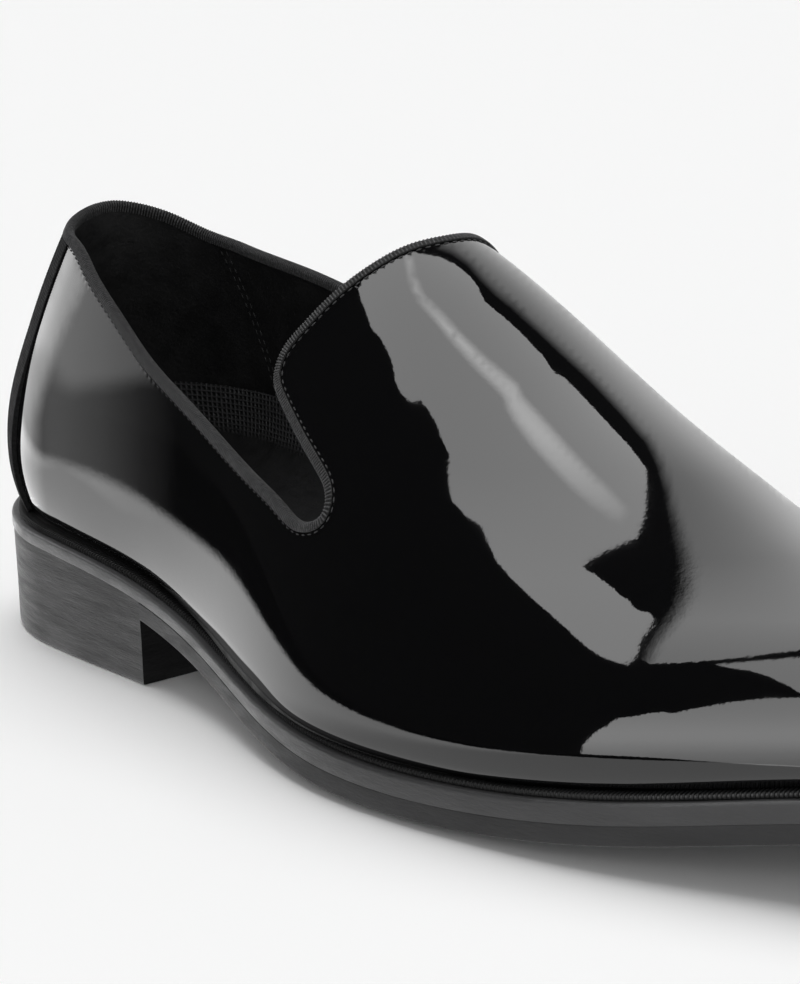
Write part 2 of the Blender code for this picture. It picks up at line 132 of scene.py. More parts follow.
# Top edge in the flat pattern, from the back over quarter, notch and tab to the tab's middle: place along
# the shoe, and places around it on the two sides
TOPLINE = np.array([
    (19.4, 0.0, 0.0),
    (20.4, 5.8, 7.4),
    (23.2, 10.9, 13.8),
    (28.0, 15.4, 20.6),
    (36.5, 19.6, 25.1),
    (47.0, 25.0, 27.3),
    (62.0, 32.3, 29.4),
    (77.0, 39.7, 32.2),
    (93.0, 44.8, 36.9),
    (107.5, 48.5, 42.2),
    (121.0, 50.6, 47.1),
    (135.3, 51.6, 51.2),
    (143.2, 51.9, 52.7),
    (147.4, 50.3, 51.9),
    (150.2, 47.2, 50.0),
    (149.6, 44.2, 47.9),
    (145.0, 41.2, 46.0),
    (136.1, 38.0, 44.2),
    (126.6, 33.9, 41.4),
    (121.2, 29.9, 38.4),
    (120.6, 25.4, 34.8),
    (123.0, 20.2, 29.8),
    (126.4, 13.8, 23.6),
    (130.0, 7.2, 17.0),
    (133.2, 0.2, 10.0),
    (134.8, -5.0, 5.0),
])

LATERAL = -1
MEDIAL = 1

# Dressed thicknesses: the midsole's band is trimmed thin from heel to waist, the upper's edge is skived
SHELL_WALL = 1.2
BAND_WAIST = 2.5
BAND_FORE = 4.0
BAND_START = 112.0
BAND_END = 168.0
SEAM_GAP = 0.1
WELT_EDGE = 1.0

# The upper spreads over the welt: place along the shoe, spread on the lateral side, and up to where
FLARE = np.array([(0.0, -0.3, 26.0), (25.0, -0.4, 26.0), (50.0, -0.3, 26.0), (80.0, 0.7, 28.0),
                  (105.0, 2.4, 36.0), (130.0, 3.2, 38.0), (155.0, 2.8, 28.0), (180.0, 2.1, 17.0),
                  (205.0, 1.5, 16.0), (228.0, 0.3, 16.0), (255.0, 0.0, 16.0), (292.0, 0.0, 16.0)])
FLARE_POWER = 1.4
FLARE_MEDIAL = 0.5

# How the upper turns in to the welt: place along the shoe, shares of the usual height and depth
TUCK = np.array([(0.0, 1.0, 1.0), (60.0, 1.0, 1.0), (85.0, 1.25, 1.2), (105.0, 1.9, 1.75),
                 (120.0, 2.4, 2.0), (135.0, 2.2, 1.9), (152.0, 1.4, 1.3), (180.0, 1.05, 1.05),
                 (208.0, 1.0, 1.0), (232.0, 0.6, 0.65), (250.0, 0.25, 0.35), (292.0, 0.25, 0.35)])

# Band of painted shade over the upper's lower edge: place along the shoe, height of the band
SHADE_BAND = np.array([(0.0, 0.4), (60.0, 0.4), (85.0, 1.4), (97.0, 3.2), (107.0, 4.0), (118.0, 4.9),
                 (129.0, 4.9), (139.0, 4.4), (148.0, 2.9), (157.0, 2.3), (185.0, 2.0), (204.0, 1.6),
                 (235.0, 1.0), (250.0, 0.5), (292.0, 0.4)])

# Where the lacquer takes over from the band of painted shade, as shares of the band's height
SHADE_BAND_EDGE = (0.92, 1.06)

# The ribbon over the top edge: how far the skived edge lies below the solid's, and the ribbon's sizes
EDGE_DROP = 0.45
LEG = 1.3
RIBBON = 0.35
STRIP_RIBBON = 0.3
STRIP_PAD = 0.8
PAD_LOW = 45.0
PAD_TOP = 68.0
RIBBON_GAP = 0.06
FOLD_RISE = 0.35

# Sides of a rib, how deep the strip's ribs are sunk in, and where the binding's stitches lie
RIB_SIDES = 5
RIB_SINK = 0.05
STITCH_LIFT = 0.06
STITCH_DROP = 0.5
STITCH_SHARE = 0.3

# Mesh counts of the visible pieces
UPPER_HEEL_COLUMNS = 60
UPPER_BODY_COLUMNS = 170
UPPER_TOE_COLUMNS = 70
UPPER_ROWS = 132
TOPLINE_STEPS = 360
OUTLINE_STEPS = 200
FAN_ANGLES = 181
ROW_CROWDING = 0.3
SHARP_ANGLE = np.radians(38.0)
MERGE_DISTANCE = 0.000001

# How the camera stood, in degrees, millimetres and pixels of the picture
PICTURE_SIZE = (800, 984)
CAMERA_AZIMUTH = 53.27
CAMERA_ELEVATION = 15.69
CAMERA_ROLL = -2.28
CAMERA_TARGET = (139.5, 0.0, 37.2)
CAMERA_DISTANCE = 690.63
CAMERA_FOCAL = 3420.76
CAMERA_CENTRE = (440.98, 536.15)
SENSOR = 36.0


# The form

def smooth_curve(xs, ys):
    """Returns a natural cubic curve through the points as a function."""
    steps = np.diff(xs)
    count = len(xs)
    matrix = np.eye(count)
    right = np.zeros(count)
    for i in range(1, count - 1):
        matrix[i, i - 1:i + 2] = steps[i - 1], 2 * (steps[i - 1] + steps[i]), steps[i]
        right[i] = 6 * ((ys[i + 1] - ys[i]) / steps[i] - (ys[i] - ys[i - 1]) / steps[i - 1])
    bend = np.linalg.solve(matrix, right)

    def value(x):
        x = np.clip(x, xs[0], xs[-1])
        i = np.clip(np.searchsorted(xs, x) - 1, 0, count - 2)
        after = x - xs[i]
        before = xs[i + 1] - x
        cubic = (bend[i] * before**3 + bend[i + 1] * after**3) / (6 * steps[i])
        start = (ys[i] / steps[i] - bend[i] * steps[i] / 6) * before
        end = (ys[i + 1] / steps[i] - bend[i + 1] * steps[i] / 6) * after
        return cubic + start + end

    return value


SECTION = {name: smooth_curve(SECTIONS[:, 0], SECTIONS[:, i]) for i, name in enumerate(SECTION_COLUMNS)}
back_of_upper = smooth_curve(BACK_CURVE[:, 0], BACK_CURVE[:, 1])
flare_spread = smooth_curve(FLARE[:, 0], FLARE[:, 1])
flare_height = smooth_curve(FLARE[:, 0], FLARE[:, 2])
tuck_height_share = smooth_curve(TUCK[:, 0], TUCK[:, 1])
tuck_depth_share = smooth_curve(TUCK[:, 0], TUCK[:, 2])
shade_band_height = smooth_curve(SHADE_BAND[:, 0], SHADE_BAND[:, 1])


def end_closing(x, back, toe):
    """Share of the full width that is left near the rounded heel and toe."""
    heel = np.clip((HEEL_ROUND - x) / (HEEL_ROUND - back), 0, 1)
    front = np.clip((x - TOE_START) / (toe - TOE_START), 0, 1)
    return (1 - heel**HEEL_POWER)**(1 / HEEL_POWER) * (1 - front**TOE_POWER)**(1 / TOE_POWER)


def sole_half_width(x, side, inset=0.0):
    """Half-width of the sole's outline on one side, moved in by an inset."""
    width = SECTION["medial" if side == MEDIAL else "lateral"](x) - inset
    return width * end_closing(x, inset, LENGTH - inset)


def outsole_top(x):
    return SECTION["bottom"](x) + OUTSOLE_THICK - CLEARANCE


def midsole_base(x):
    return SECTION["bottom"](x) + OUTSOLE_THICK


def midsole_top(x):
    return midsole_base(x) + MIDSOLE_THICK


def welt_base(x):
    return midsole_top(x) + CLEARANCE


def welt_top(x):
    return welt_base(x) + WELT_THICK


def feather_height(x):
    """Height of the upper's lower edge."""
    return welt_top(x) + CLEARANCE


def eased(share):
    """Smooth step from 0 to 1."""
    share = np.clip(share, 0, 1)
    return share * share * (3 - 2 * share)


def band_thickness(x):
    """Thickness of the midsole's visible band."""
    return BAND_WAIST + (BAND_FORE - BAND_WAIST) * eased((x - BAND_START) / (BAND_END - BAND_START))


def seam_base(x):
    """Lower side of the visible welt."""
    return midsole_base(x) + band_thickness(x) + SEAM_GAP


def seam_top(x):
    return seam_base(x) + WELT_EDGE


def lower_edge(x):
    """Height at which the dressed upper meets the welt."""
    return seam_top(x) + SEAM_GAP


def ridge_rise(x):
    """Height of the ridge above the lower edge, falling off in a round toe."""
    front = np.clip((x - TOE_DROP_START) / (LENGTH - FEATHER_INSET - TOE_DROP_START), 0, 1)
    rounding = (1 - front**TOE_DROP_POWER)**(1 / TOE_DROP_POWER)
    return np.maximum((SECTION["ridge_height"](x) - feather_height(x)) * rounding, LEAST_RISE)


def rise_share(x, z):
    """Height as a share of the way from the lower edge to the ridge."""
    return (z - feather_height(x)) / ridge_rise(x)


def middle_line(x, z):
    """Y at which the upper's two halves meet, moving over to the ridge with height."""
    return SECTION["ridge_side"](x) * np.clip(rise_share(x, z), 0, 1)**RIDGE_POWER


def upper_half_width(x, z, side):
    """Distance of the upper's outside from its middle line at one height."""
    rise = rise_share(x, z)
    base = SECTION["medial" if side == MEDIAL else "lateral"](x) - FEATHER_INSET
    body = SECTION["body_medial" if side == MEDIAL else "body_lateral"](x)
    swell = 1 - (1 - np.clip(rise / BODY_RISE, UNDERCUT, 1))**BODY_POWER
    dome = (1 - np.clip(rise, 0, 1)**SECTION["rise_power"](x))**(1 / SECTION["width_power"](x))
    spread = flare_spread(x) * (FLARE_MEDIAL if side == MEDIAL else 1.0)
    spread = spread * np.clip(1 - (z - lower_edge(x)) / flare_height(x), 0, 1)**FLARE_POWER
    closing = end_closing(x, back_of_upper(z), LENGTH - FEATHER_INSET)
    return (base + spread + (body - base) * swell) * dome * closing


def outside_by(points):
    """Sideways distance of points from the upper's outside, negative within it."""
    x, y, z = points[..., 0], points[..., 1], points[..., 2]
    offset = y - middle_line(x, z)
    half = np.where(offset > 0, upper_half_width(x, z, MEDIAL), upper_half_width(x, z, LATERAL))
    return np.abs(offset) - half


def on_upper(along, around):
    """Points of the upper's outside at places of its flat pattern."""
    base = np.clip(along, FAN_BACK, FAN_FRONT)
    reach = np.maximum(np.hypot(along - base, around), LEAST_REACH)
    roll = reach / ROLL_RADIUS
    ray = np.stack([np.sin(roll) * (along - base) / reach, np.sin(roll) * around / reach, np.cos(roll)], -1)
    height = feather_height(base) + SPINE_SHARE * ridge_rise(base)
    start = np.stack([base, middle_line(base, height), height], -1)
    near = np.zeros_like(base)
    far = np.full_like(base, LENGTH / 2)
    for _ in range(BISECTIONS):
        half_way = (near + far) / 2
        out = outside_by(start + half_way[..., None] * ray) > 0
        far = np.where(out, half_way, far)
        near = np.where(out, near, half_way)
    return start + near[..., None] * ray


def surface_steps(along, around):
    """How the upper's outside runs along and around at places of the flat pattern."""
    # Steps don't reach over the line where the fan of the heel begins
    along = np.where(np.abs(along - FAN_BACK) < 2 * PATTERN_STEP, FAN_BACK + 2 * PATTERN_STEP, along)
    ahead = on_upper(along + PATTERN_STEP, around) - on_upper(along - PATTERN_STEP, around)
    sideways = on_upper(along, around + PATTERN_STEP) - on_upper(along, around - PATTERN_STEP)
    return ahead / (2 * PATTERN_STEP), sideways / (2 * PATTERN_STEP)


def unit(vectors):
    return vectors / np.linalg.norm(vectors, axis=-1, keepdims=True)


def outward(along, around):
    """Unit normals of the upper's outside at places of the flat pattern."""
    ahead, sideways = surface_steps(along, around)
    return unit(np.cross(ahead, sideways))


def feather_reach(base, ahead, sideways):
    """How far the flat pattern reaches from its middle line to the dressed upper's lower edge."""
    near = np.full_like(base, ROLL_RADIUS * np.radians(FEATHER_ROLL - ROLL_SEARCH))
    far = np.full_like(base, ROLL_RADIUS * np.radians(FEATHER_ROLL + ROLL_SEARCH))
    for _ in range(BISECTIONS):
        reach = (near + far) / 2
        point = on_upper(base + reach * ahead, reach * sideways)
        below = point[..., 2] < lower_edge(point[..., 0])
        far = np.where(below, reach, far)
        near = np.where(below, near, reach)
    return near


def topline_pattern(count):
    """Places of the top edge in the flat pattern, from the back round the lateral side."""
    along = np.concatenate([TOPLINE[:, 0], TOPLINE[-2:0:-1, 0]])
    around = np.concatenate([-TOPLINE[:, 1], TOPLINE[-2:0:-1, 2]])
    # The closed curve is run through three times, so that the middle turn has no ends
    along = np.concatenate([along, along, along, along[:1]])
    around = np.concatenate([around, around, around, around[:1]])
    chord = np.concatenate([[0], np.cumsum(np.hypot(np.diff(along), np.diff(around)))])
    turn = chord[-1] / 3
    way = turn + turn * np.arange(count) / count
    return smooth_curve(chord, along)(way), smooth_curve(chord, around)(way)


def shoe_middle():
    """Point on the floor under the middle of the whole shoe."""
    x = np.linspace(0, LENGTH, 2 * OUTLINE_STEPS)
    medial = sole_half_width(x, MEDIAL).max()
    lateral = sole_half_width(x, LATERAL).max()
    return np.array([(LENGTH + BACK_REACH) / 2, (medial - lateral) / 2, 0.0])


MIDDLE = shoe_middle()


# Meshes

def in_metres(points):
    """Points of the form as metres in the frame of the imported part."""
    return (np.asarray(points, float).reshape(-1, 3) - MIDDLE) * MM


def band_faces(first_ring, second_ring, count):
    """Faces between two closed rings of points, given where each ring starts."""
    return [(first_ring + i, first_ring + (i + 1) % count, second_ring + (i + 1) % count, second_ring + i)
            for i in range(count)]


def ring_faces(rings, closed):
    """Faces between rings of points that follow each other, each ring being closed."""
    count = rings.shape[1]
    faces = []
    for i in range(len(rings) if closed else len(rings) - 1):
        faces += band_faces(i * count, ((i + 1) % len(rings)) * count, count)
    return faces


def grid_faces(rows, columns, start=0):
    """Faces of an open grid of points that is stored row by row."""
    return [(start + i * columns + j, start + i * columns + j + 1,
             start + (i + 1) * columns + j + 1, start + (i + 1) * columns + j)
            for i in range(rows - 1) for j in range(columns - 1)]


def grid_rim(rows, columns):
    """Points round the border of a grid that is stored row by row."""
    rim = list(range(columns))
    rim += [i * columns + columns - 1 for i in range(1, rows)]
    rim += [(rows - 1) * columns + j for j in range(columns - 2, -1, -1)]
    rim += [i * columns for i in range(rows - 2, 0, -1)]
    return rim


def add_mesh(name, points, faces, materials, slots=None):
    """Makes one smooth object from points in millimetres, facing outwards."""
    mesh = bpy.data.meshes.new(name)
    mesh.from_pydata(in_metres(points).tolist(), [], faces)
    for material in materials:
        mesh.materials.append(material)
    if slots is not None:
        mesh.polygons.foreach_set("material_index", slots)
    edit = bmesh.new()
    edit.from_mesh(mesh)
    bmesh.ops.remove_doubles(edit, verts=edit.verts[:], dist=MERGE_DISTANCE)
    bmesh.ops.recalc_face_normals(edit, faces=edit.faces[:])
    edit.to_mesh(mesh)
    edit.free()
    mesh.shade_smooth()
    mesh.set_sharp_from_angle(angle=SHARP_ANGLE)
    thing = bpy.data.objects.new(name, mesh)
    bpy.context.scene.collection.objects.link(thing)
    return thing


def add_lines(name, lines):
    """Makes an object of loose polylines from points in millimetres."""
    points = np.concatenate(lines)
    edges = []
    start = 0
    for line in lines:
        edges += [(start + i, start + i + 1) for i in range(len(line) - 1)]
        start += len(line)
    mesh = bpy.data.meshes.new(name)
    mesh.from_pydata(in_metres(points).tolist(), edges, [])
    thing = bpy.data.objects.new(name, mesh)
    bpy.context.scene.collection.objects.link(thing)
    return thing


def finish_piece(thing, slot, *replaced):
    """Lets a piece ride on the part and stand for solids."""
    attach(thing, BODY)
    if replaced:
        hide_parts(*replaced)


# Geometry Nodes

def tree_socket(tree, name, kind, default=None):
    """Adds a named input to a tree."""
    socket = tree.interface.new_socket(name, in_out="INPUT", socket_type=kind)
    if default is not None:
        socket.default_value = default


def add_node(tree, kind, settings=None, values=None):
    """Adds a node with its settings and the values of its unlinked sockets."""
    made = tree.nodes.new(kind)
    for name, value in (settings or {}).items():
        setattr(made, name, value)
    for name, value in (values or {}).items():
        made.inputs[name].default_value = value
    return made


def rib_tree():
    """Tree that turns each polyline of a mesh into a rounded rib."""
    name = "ribs along lines"
    if name in bpy.data.node_groups:
        return bpy.data.node_groups[name]
    tree = bpy.data.node_groups.new(name, "GeometryNodeTree")
    tree_socket(tree, "Lines", "NodeSocketGeometry")
    tree_socket(tree, "Rib radius", "NodeSocketFloat", 0.0003)
    tree_socket(tree, "Rib sides", "NodeSocketInt", RIB_SIDES)
    tree_socket(tree, "Finish", "NodeSocketMaterial")
    tree.interface.new_socket("Ribs", in_out="OUTPUT", socket_type="NodeSocketGeometry")
    given = add_node(tree, "NodeGroupInput")
    result = add_node(tree, "NodeGroupOutput")
    curve = add_node(tree, "GeometryNodeMeshToCurve")
    profile = add_node(tree, "GeometryNodeCurvePrimitiveCircle", {"mode": "RADIUS"})
    rib = add_node(tree, "GeometryNodeCurveToMesh", None, {"Fill Caps": True})
    smooth = add_node(tree, "GeometryNodeSetShadeSmooth")
    real = add_node(tree, "GeometryNodeRealizeInstances")
    paint = add_node(tree, "GeometryNodeSetMaterial")
    link = tree.links.new
    link(given.outputs["Lines"], curve.inputs["Mesh"])
    link(given.outputs["Rib radius"], profile.inputs["Radius"])
    link(given.outputs["Rib sides"], profile.inputs["Resolution"])
    link(curve.outputs["Curve"], rib.inputs["Curve"])
    link(profile.outputs["Curve"], rib.inputs["Profile Curve"])
    link(rib.outputs["Mesh"], smooth.inputs["Geometry"])
    link(smooth.outputs["Geometry"], real.inputs["Geometry"])
    link(real.outputs["Geometry"], paint.inputs["Geometry"])
    link(given.outputs["Finish"], paint.inputs["Material"])
    link(paint.outputs["Geometry"], result.inputs["Ribs"])
    return tree


def stitch_tree():
    """Tree that lays rounded stitches at an even pitch along the polylines of a mesh."""
    name = "stitches along lines"
    if name in bpy.data.node_groups:
        return bpy.data.node_groups[name]
    tree = bpy.data.node_groups.new(name, "GeometryNodeTree")
    tree_socket(tree, "Lines", "NodeSocketGeometry")
    tree_socket(tree, "Pitch", "NodeSocketFloat", 0.0013)
    tree_socket(tree, "Stitch size", "NodeSocketVector", (0.0005, 0.00015, 0.00015))
    tree_socket(tree, "Finish", "NodeSocketMaterial")
    tree.interface.new_socket("Stitches", in_out="OUTPUT", socket_type="NodeSocketGeometry")
    given = add_node(tree, "NodeGroupInput")
    result = add_node(tree, "NodeGroupOutput")
    curve = add_node(tree, "GeometryNodeMeshToCurve")
    even = add_node(tree, "GeometryNodeResampleCurve", {"mode": "LENGTH"})
    bead = add_node(tree, "GeometryNodeMeshUVSphere", None, {"Segments": 6, "Rings": 5, "Radius": 1.0})
    tangent = add_node(tree, "GeometryNodeInputTangent")
    turn = add_node(tree, "FunctionNodeAlignRotationToVector", {"axis": "X"})
    place = add_node(tree, "GeometryNodeInstanceOnPoints")
    real = add_node(tree, "GeometryNodeRealizeInstances")
    smooth = add_node(tree, "GeometryNodeSetShadeSmooth")
    paint = add_node(tree, "GeometryNodeSetMaterial")
    link = tree.links.new
    link(given.outputs["Lines"], curve.inputs["Mesh"])
    link(curve.outputs["Curve"], even.inputs["Curve"])
    link(given.outputs["Pitch"], even.inputs["Length"])
    link(even.outputs["Curve"], place.inputs["Points"])
    link(bead.outputs["Mesh"], place.inputs["Instance"])
    link(tangent.outputs["Tangent"], turn.inputs["Vector"])
    link(turn.outputs["Rotation"], place.inputs["Rotation"])
    link(given.outputs["Stitch size"], place.inputs["Scale"])
    link(place.outputs["Instances"], real.inputs["Geometry"])
    link(real.outputs["Geometry"], smooth.inputs["Geometry"])
    link(smooth.outputs["Geometry"], paint.inputs["Geometry"])
    link(given.outputs["Finish"], paint.inputs["Material"])
    link(paint.outputs["Geometry"], result.inputs["Stitches"])
    return tree


def grown(thing, tree, values):
    """Runs a tree on an object of lines and keeps its result as a plain mesh."""
    modifier = thing.modifiers.new(tree.name, "NODES")
    modifier.node_group = tree
    for item in tree.interface.items_tree:
        if item.item_type == "SOCKET" and item.in_out == "INPUT" and item.name in values:
            modifier[item.identifier] = values[item.name]
    thing.update_tag()
    graph = bpy.context.evaluated_depsgraph_get()
    mesh = bpy.data.meshes.new_from_object(thing.evaluated_get(graph))
    thing.modifiers.remove(modifier)
    lines = thing.data
    thing.data = mesh
    bpy.data.meshes.remove(lines)
    mesh.name = thing.name


# Materials

def shade_group(name, inputs, outputs):
    """Starts a shader node group with named inputs and outputs."""
    tree = bpy.data.node_groups.new(name, "ShaderNodeTree")
    for label, kind, default in inputs:
        tree_socket(tree, label, kind, default)
    for label, kind in outputs:
        tree.interface.new_socket(label, in_out="OUTPUT", socket_type=kind)
    return tree, add_node(tree, "NodeGroupInput"), add_node(tree, "NodeGroupOutput")


def mottle_group():
    """Cloudy mask between two values, for dye, wear and gloss that vary over a surface."""
    if "mottle" in bpy.data.node_groups:
        return bpy.data.node_groups["mottle"]
    tree, given, result = shade_group(
        "mottle",
        [("Scale", "NodeSocketFloat", 40.0), ("Stretch", "NodeSocketVector", (1.0, 1.0, 1.0)),
         ("Detail", "NodeSocketFloat", 4.0), ("Low", "NodeSocketFloat", 0.0),
         ("High", "NodeSocketFloat", 1.0)],
        [("Value", "NodeSocketFloat")])
    place = add_node(tree, "ShaderNodeTexCoord")
    mapping = add_node(tree, "ShaderNodeMapping")
    noise = add_node(tree, "ShaderNodeTexNoise", None, {"Roughness": 0.6})
    spread = add_node(tree, "ShaderNodeMapRange", None, {"From Min": 0.32, "From Max": 0.68})
    link = tree.links.new
    link(place.outputs["Object"], mapping.inputs["Vector"])
    link(given.outputs["Stretch"], mapping.inputs["Scale"])
    link(mapping.outputs["Vector"], noise.inputs["Vector"])
    link(given.outputs["Scale"], noise.inputs["Scale"])
    link(given.outputs["Detail"], noise.inputs["Detail"])
    link(noise.outputs["Fac"], spread.inputs["Value"])
    link(given.outputs["Low"], spread.inputs["To Min"])
    link(given.outputs["High"], spread.inputs["To Max"])
    link(spread.outputs["Result"], result.inputs["Value"])
    return tree


# Dark and light shade of each mottled or woven finish, as shares of its colour
LINING_SHADES = (0.7, 1.3)
RIBBON_SHADES = (0.55, 1.4)
SOCK_SHADES = (0.5, 2.6)

# Depths of the fine relief, in metres
LINING_GRAIN = 0.00008
RIBBON_FIBRE = 0.00006
EDGE_GRAIN = 0.00005
WEAVE_DEPTH = 0.0003
SOCK_GRAIN = 0.00006

# Lacquer's coat, roughness of the painted shade band, and how far from the binding the stitches pucker, in
# millimetres
LACQUER_COAT = 0.25
SHADE_BAND_ROUGH = 0.6
PUCKER_REACH = 1.7

# Sole edges: how far their gloss varies, and where their painted highlight at the heel end gives way to the
# darker toe, in metres
EDGE_POLISH = 0.08
EDGE_DULL = 0.1
EDGE_HIGHLIGHT_FADE = (-0.03, 0.03)

# Threads of the sock: the stored place that each set follows and its pitch in millimetres
CLOTH_PITCH = {"cloth_way": 1.3, "cloth_rise": 1.2}
WEAVE_START = 0.1

# Ribbon finishes: colour that they take, share of it, sheen and shine
RIBBON_FINISHES = {
    # The ground between the ribs takes a dark share and the ribs a light one: painted shade in the grooves,
    # painted light on the ribs
    "ribbon": ("ribbon", 0.2, 0.1, 0.2),
    "ribbon rib": ("ribbon", 1.65, 0.1, 0.2),
    # The back strip takes darker shares than the binding's ribbon, as painted shade
    "strip": ("ribbon", 0.35, 0.0, 0.04),
    "strip rib": ("ribbon", 0.75, 0.0, 0.04),
    "thread": ("thread", 1.0, 0.1, 0.2),
}

# Edge finishes: colour that they take, share of it, stretch of the streaks, roughness, shine, share of the
# colour at the toe, where the painted highlight of the heel end has faded, and how far the colour varies
EDGE_FINISHES = {
    "welt": ("welt", 1.0, (1.0, 1.0, 1.0), 0.55, 0.25, 1.0, 0.15),
    # The wheeled ribs take a higher share than the welt between them, as painted light on the ribs
    "welt rib": ("welt", 1.5, (1.0, 1.0, 1.0), 0.5, 0.25, 1.0, 0.15),
    "midsole edge": ("midsole", 1.0, (1.0, 1.0, 4.0), 0.42, 0.35, 0.6, 0.15),
    "outsole edge": ("outsole", 1.0, (1.0, 1.0, 4.0), 0.5, 0.2, 0.8, 0.15),
    "heel edge": ("heel", 1.0, (0.6, 0.6, 6.0), 0.5, 0.25, 1.0, 0.08),
    # The heel breast takes a small share of the heel's colour, as painted shade under the arch
    "heel breast": ("heel", 0.12, (1.0, 1.0, 3.0), 0.6, 0.05, 1.0, 0.15),
}


def new_finish(name):
    """Starts a material and returns it with its tree and its shader."""
    material = bpy.data.materials.new(name)
    material.use_nodes = True
    tree = material.node_tree
    return material, tree, tree.nodes["Principled BSDF"]


def mottle(tree, scale, low, high, stretch=(1.0, 1.0, 1.0), detail=4.0):
    """Places the cloudy mask in a material with its own values, and returns its output."""
    made = add_node(tree, "ShaderNodeGroup", {"node_tree": mottle_group()},
                    {"Scale": scale, "Stretch": stretch, "Detail": detail, "Low": low, "High": high})
    return made.outputs["Value"]


def bump(tree, height, distance, normal=None):
    """Adds a bump of a real depth in metres and returns its normal."""
    made = add_node(tree, "ShaderNodeBump", None, {"Strength": 1.0, "Distance": distance})
    tree.links.new(height, made.inputs["Height"])
    if normal is not None:
        tree.links.new(normal, made.inputs["Normal"])
    return made.outputs["Normal"]


def scaled(colour, share):
    return tuple(part * share for part in colour[:3])


def colour_sockets(sockets):
    return [socket for socket in sockets if socket.type == "RGBA"]


def tinted(tree, mask, colour, shades):
    """Mixes a dark and a light shade of a colour by a mask and returns the result."""
    made = add_node(tree, "ShaderNodeMix", {"data_type": "RGBA"})
    tree.links.new(mask, made.inputs["Factor"])
    for socket, share in zip(colour_sockets(made.inputs), shades):
        socket.default_value = (*scaled(colour, share), 1.0)
    return colour_sockets(made.outputs)[0]


def patent_finish(colours, sizes):
    """Black lacquered leather: mirror gloss with the faint ripple of the hide under the lacquer."""
    material, tree, shader = new_finish("patent")
    shader.inputs["Base Color"].default_value = colours.patent
    shader.inputs["IOR"].default_value = 1.5
    shader.inputs["Coat Roughness"].default_value = 0.02
    link = tree.links.new

    # The band of painted shade over the lower edge is rough, uncoated and metallic on the black colour, so it
    # mirrors nothing
    rise = add_node(tree, "ShaderNodeAttribute", {"attribute_name": "edge_rise"})
    dull = add_node(tree, "ShaderNodeMath", {"operation": "ADD"})
    link(mottle(tree, scale=60.0, low=0.02, high=0.06), dull.inputs[1])
    for painted_shade, lacquered, socket in ((SHADE_BAND_ROUGH, 0.0, dull.inputs[0]),
                                    (0.0, LACQUER_COAT, shader.inputs["Coat Weight"]),
                                    (1.0, 0.0, shader.inputs["Metallic"])):
        change = add_node(tree, "ShaderNodeMapRange", {"interpolation_type": "SMOOTHSTEP"},
                          {"From Min": SHADE_BAND_EDGE[0], "From Max": SHADE_BAND_EDGE[1],
                           "To Min": painted_shade, "To Max": lacquered})
        link(rise.outputs["Fac"], change.inputs["Value"])
        link(change.outputs["Result"], socket)
    link(dull.outputs["Value"], shader.inputs["Roughness"])

    normal = bump(tree, mottle(tree, scale=700.0, low=0.0, high=1.0, detail=2.0), sizes.ripple_depth)
    normal = bump(tree, mottle(tree, scale=55.0, low=0.0, high=1.0, detail=1.0), sizes.swell_depth, normal)
    way = add_node(tree, "ShaderNodeAttribute", {"attribute_name": "hem_way"})
    gap = add_node(tree, "ShaderNodeAttribute", {"attribute_name": "hem_gap"})
    beat = add_node(tree, "ShaderNodeMath", {"operation": "MULTIPLY"})
    beat.inputs[1].default_value = 2 * np.pi / (sizes.stitch_pitch / MM)
    wave = add_node(tree, "ShaderNodeMath", {"operation": "SINE"})
    fade = add_node(tree, "ShaderNodeMapRange", {"interpolation_type": "SMOOTHSTEP"},
                    {"From Min": 0.0, "From Max": PUCKER_REACH, "To Min": 1.0, "To Max": 0.0})
    pucker = add_node(tree, "ShaderNodeMath", {"operation": "MULTIPLY"})
    link(way.outputs["Fac"], beat.inputs[0])
    link(beat.outputs["Value"], wave.inputs[0])
    link(gap.outputs["Fac"], fade.inputs["Value"])
    link(wave.outputs["Value"], pucker.inputs[0])
    link(fade.outputs["Result"], pucker.inputs[1])
    normal = bump(tree, pucker.outputs["Value"], sizes.pucker_depth, normal)
    link(normal, shader.inputs["Normal"])
    return material


def lining_finish(colours):
    """Soft black lining leather."""
    material, tree, shader = new_finish("lining")
    link = tree.links.new
    dye = tinted(tree, mottle(tree, scale=90.0, low=0.0, high=1.0), colours.lining, LINING_SHADES)
    link(dye, shader.inputs["Base Color"])
    link(mottle(tree, scale=200.0, low=0.5, high=0.75), shader.inputs["Roughness"])
    link(bump(tree, mottle(tree, scale=900.0, low=0.0, high=1.0), LINING_GRAIN), shader.inputs["Normal"])
    return material


def ribbon_finish(name, colour, sheen, shine):
    """Woven ribbon with fine fibres."""
    material, tree, shader = new_finish(name)
    link = tree.links.new
    shader.inputs["Sheen Weight"].default_value = sheen
    shader.inputs["Specular IOR Level"].default_value = shine
    shader.inputs["Sheen Roughness"].default_value = 0.5
    fibres = tinted(tree, mottle(tree, scale=1500.0, low=0.0, high=1.0), colour, RIBBON_SHADES)
    link(fibres, shader.inputs["Base Color"])
    link(mottle(tree, scale=400.0, low=0.65, high=0.9), shader.inputs["Roughness"])
    link(bump(tree, mottle(tree, scale=2500.0, low=0.0, high=1.0), RIBBON_FIBRE), shader.inputs["Normal"])
    return material


